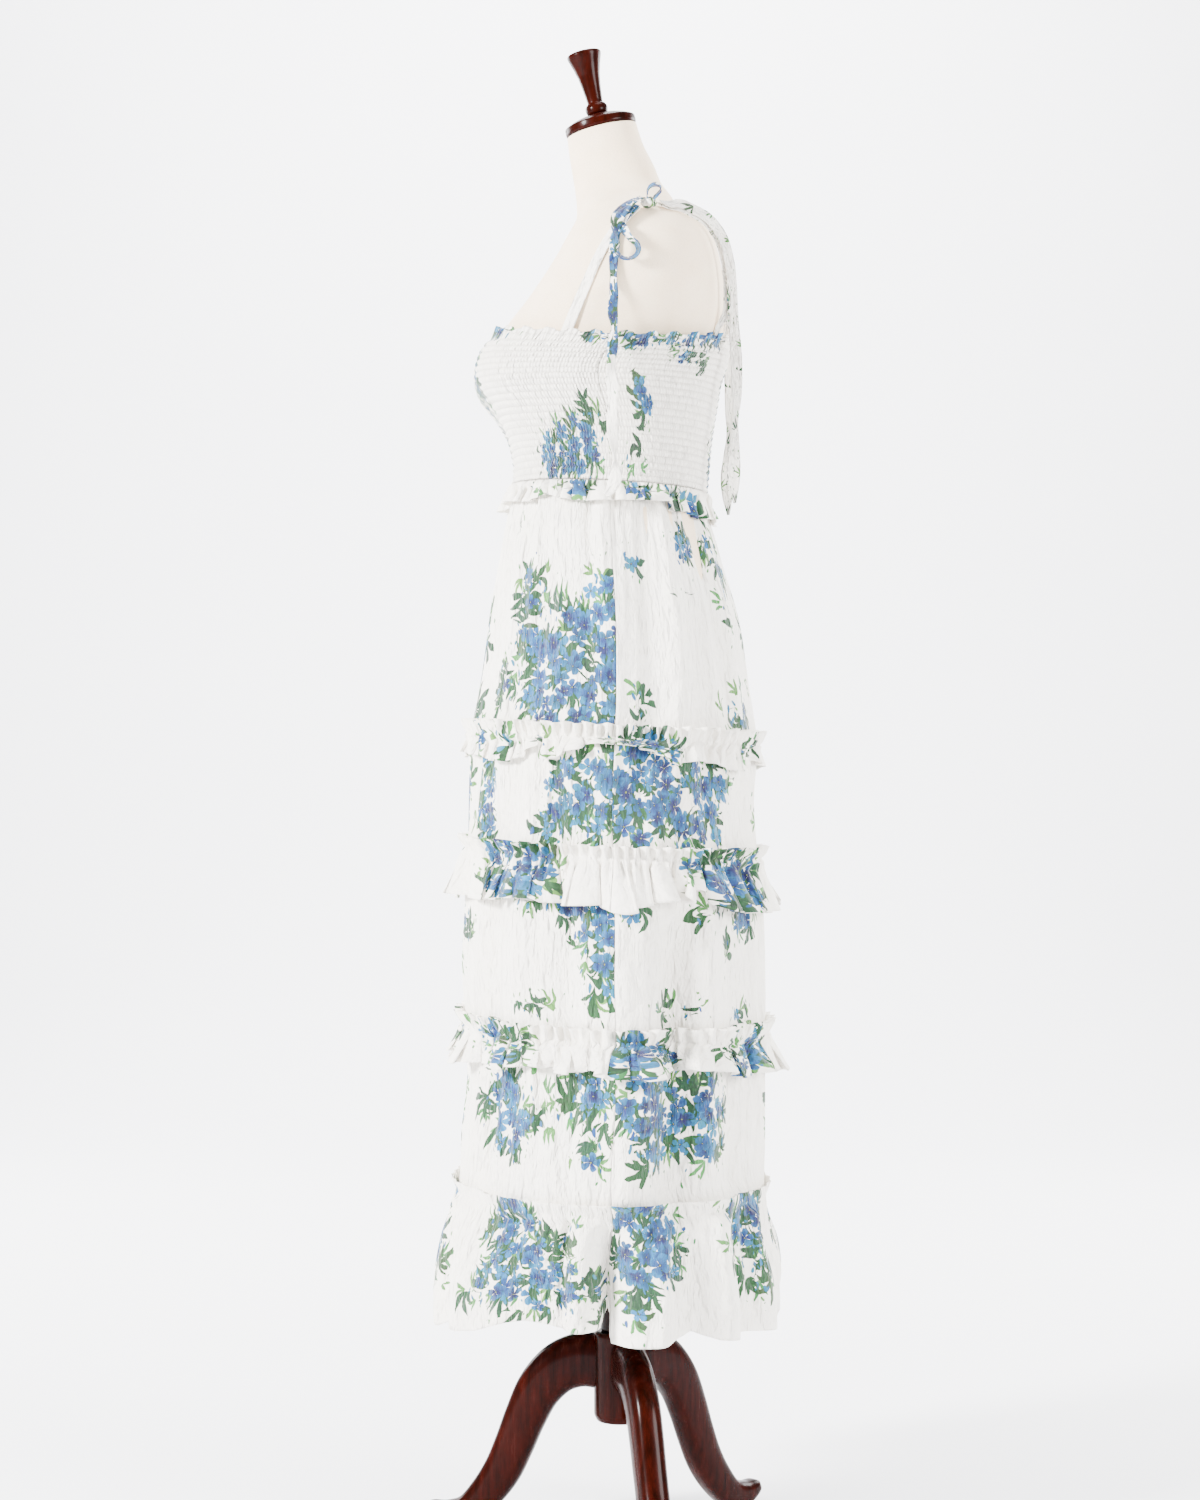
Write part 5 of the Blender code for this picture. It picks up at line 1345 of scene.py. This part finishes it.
def tie(kind, side):
    """A flat tie along its route, a little hollow across, with pressed edges."""
    (points, spreads, widths), amount = TIES[kind]
    for index in range(1, len(spreads)):
        if spreads[index].dot(spreads[index - 1]) < 0:
            spreads[index] = -spreads[index]
    points, spreads, widths = np.array(points), np.array(spreads), np.array(widths)
    steps = np.concatenate([[0.0], np.cumsum(np.linalg.norm(np.diff(points, axis=0), axis=1))])
    length = steps[-1]
    fine = np.linspace(0.0, length, max(40, int(length / RIBBON_STEP)))
    place = np.stack([curve(steps, points[:, axis], fine) for axis in range(3)], axis=-1)
    spread = np.stack([curve(steps, spreads[:, axis], fine) for axis in range(3)], axis=-1)
    spread /= np.linalg.norm(spread, axis=1, keepdims=True)
    width = curve(steps, widths, fine)
    run = np.gradient(place, axis=0)
    face = np.cross(run, spread)
    face /= np.linalg.norm(face, axis=1, keepdims=True)
    across = np.linspace(-0.5, 0.5, RIBBON_COLUMNS)
    seed = sum(map(ord, kind))
    hollow = 0.0008 * (1 - 4 * across ** 2)[None, :] * np.sin(fine * 95.0 + seed)[:, None]
    ripple = 0.00035 * np.sin(fine * 510.0 + 3.0 * np.sin(fine * 140.0))[:, None]
    ripple = ripple * np.cos(across * 4)[None, :]
    mesh_points = (place[:, None, :] + spread[:, None, :] * (across[None, :] * width[:, None])[..., None]
                   + face[:, None, :] * (hollow + ripple)[..., None])
    flat_width = float(width.mean())
    thick = np.broadcast_to(amount(fine / length)[:, None], (len(fine), RIBBON_COLUMNS))
    cloth_at = np.stack([np.broadcast_to(across[None, :] * flat_width * 1.2, thick.shape) + seed * 0.31,
                         np.broadcast_to(fine[:, None], thick.shape) + seed * 0.17, 0 * thick], axis=-1)
    cloth_at = cloth_at * SPRIG_SCALE.get(kind, MOTIF_SCALE)
    values = {"cloth_at": cloth_at, "print_at": np.stack([thick, 0 * thick, 0 * thick + 1.0], axis=-1)}
    if side == "right":
        mesh_points = mesh_points[:, ::-1] * np.array([-1.0, 1.0, 1.0])
    name = kind + "_" + side
    made = grid_object(name + "_cloth", mesh_points, values, thickness=TIE_THICKNESS, offset=0.0)
    place_piece(made, cloth, name)


def knot(side):
    """A tight wrap of cloth, ridged where the ties cross."""
    turn = np.radians(np.arange(0.0, 360.0, 10.0))[None, :]
    rise = np.radians(np.linspace(-88.0, 88.0, 25))[:, None]
    bulge = 1.0 + 0.10 * np.sin(3 * turn + 4 * rise) + 0.05 * np.sin(7 * turn - 5 * rise)
    along = np.sin(rise) * 0.0085 * bulge
    across = np.cos(rise) * np.cos(turn) * 0.0064 * bulge
    up = np.cos(rise) * np.sin(turn) * 0.0060 * bulge
    outward = unit(form_slope(KNOT))
    middle = seated(KNOT, KNOT_LIFT)
    forward = np.array([0.0, 1.0, 0.0])
    sideways = np.cross(forward, outward)
    points = middle + along[..., None] * forward + across[..., None] * sideways + up[..., None] * outward
    values = {
        "cloth_at": points * np.array([1.0, 1.0, 0.0]) + np.array([0.4, 0.2, 0.0]),
        "print_at": np.broadcast_to(np.array([0.16, 0.0, 1.0]), points.shape),
    }
    if side == "right":
        points = (points * np.array([-1.0, 1.0, 1.0]))[:, ::-1]
    made = capped(grid_object("knot_" + side + "_cloth", points, values, closed=True))
    place_piece(made, cloth, "knot_" + side)


for side in ("left", "right"):
    for kind in TIES:
        tie(kind, side)
    knot(side)

# Floor, light and camera

CAMERA_DISTANCE = 3.4
CAMERA_HEIGHT = 0.903
CAMERA_ASIDE = -0.023
LENS = 70.96
WALL_DISTANCE = 5.4
SWEEP_RADIUS = 2.2
SWEEP_TONES = [(0.0, linear(226, 226, 229)), (1.0, linear(232, 232, 234))]
SKY_COLOUR = (0.95, 0.97, 1.0, 1.0)
SKY_STRENGTH = 0.8
MIDDLE = (0.0, 0.0, 0.85)
# Each light: name, place, where it aims, size and power
LIGHTS = [
    ("key", (2.3, -3.4, 2.3), MIDDLE, 1.0, 1030.0),
    ("fill", (2.2, 3.2, 1.8), MIDDLE, 1.8, 360.0),
    ("top", (0.2, 0.2, 3.8), MIDDLE, 1.8, 120.0),
    ("behind", (-2.4, 2.6, 2.0), MIDDLE, 1.8, 220.0),
    ("far side", (-2.6, -2.6, 1.8), MIDDLE, 1.8, 200.0),
    ("wall", (-2.6, 0.0, 4.2), (-WALL_DISTANCE, 0.0, 0.6), 3.0, 820.0),
]


def backdrop():
    """A pale floor that sweeps up into a wall behind the dress, as the camera sees it."""
    profile = [(-9.0, 0.0), (WALL_DISTANCE - SWEEP_RADIUS, 0.0)]
    for t in np.linspace(0.0, 90.0, 24):
        turn = math.radians(t)
        reach = WALL_DISTANCE - SWEEP_RADIUS + SWEEP_RADIUS * math.sin(turn)
        profile.append((reach, SWEEP_RADIUS - SWEEP_RADIUS * math.cos(turn)))
    profile.append((WALL_DISTANCE, 6.0))
    points = np.array([[(-reach, side, height) for side in (8.0, -8.0)] for reach, height in profile])
    made = grid_object("studio_sweep", points)
    s = Shader("studio sweep")
    tone = s.ramp(s.noise(s.object_place(), 1.2, 2.0), SWEEP_TONES)
    made.data.materials.append(s.finish(tone, 0.9))


def area_light(name, place, aim, size, energy):
    light = bpy.data.lights.new(name, "AREA")
    light.shape = "DISK"
    light.size = size
    light.energy = energy
    made = bpy.data.objects.new(name, light)
    made.location = place
    made.rotation_euler = (Vector(aim) - Vector(place)).to_track_quat("-Z", "Y").to_euler()
    bpy.context.scene.collection.objects.link(made)


backdrop()
for light in LIGHTS:
    area_light(*light)

world = bpy.data.worlds.new("studio")
bpy.context.scene.world = world
world.use_nodes = True
sky = world.node_tree.nodes["Background"]
sky.inputs["Color"].default_value = SKY_COLOUR
sky.inputs["Strength"].default_value = SKY_STRENGTH

camera_data = bpy.data.cameras.new("camera")
camera_data.lens = LENS
camera_data.sensor_width = 36.0
camera = bpy.data.objects.new("camera", camera_data)
camera.location = (POLE[0] + CAMERA_DISTANCE, POLE[1] + CAMERA_ASIDE, CAMERA_HEIGHT)
camera.rotation_euler = (math.radians(90.0), 0.0, math.radians(90.0))
bpy.context.scene.collection.objects.link(camera)
bpy.context.scene.camera = camera
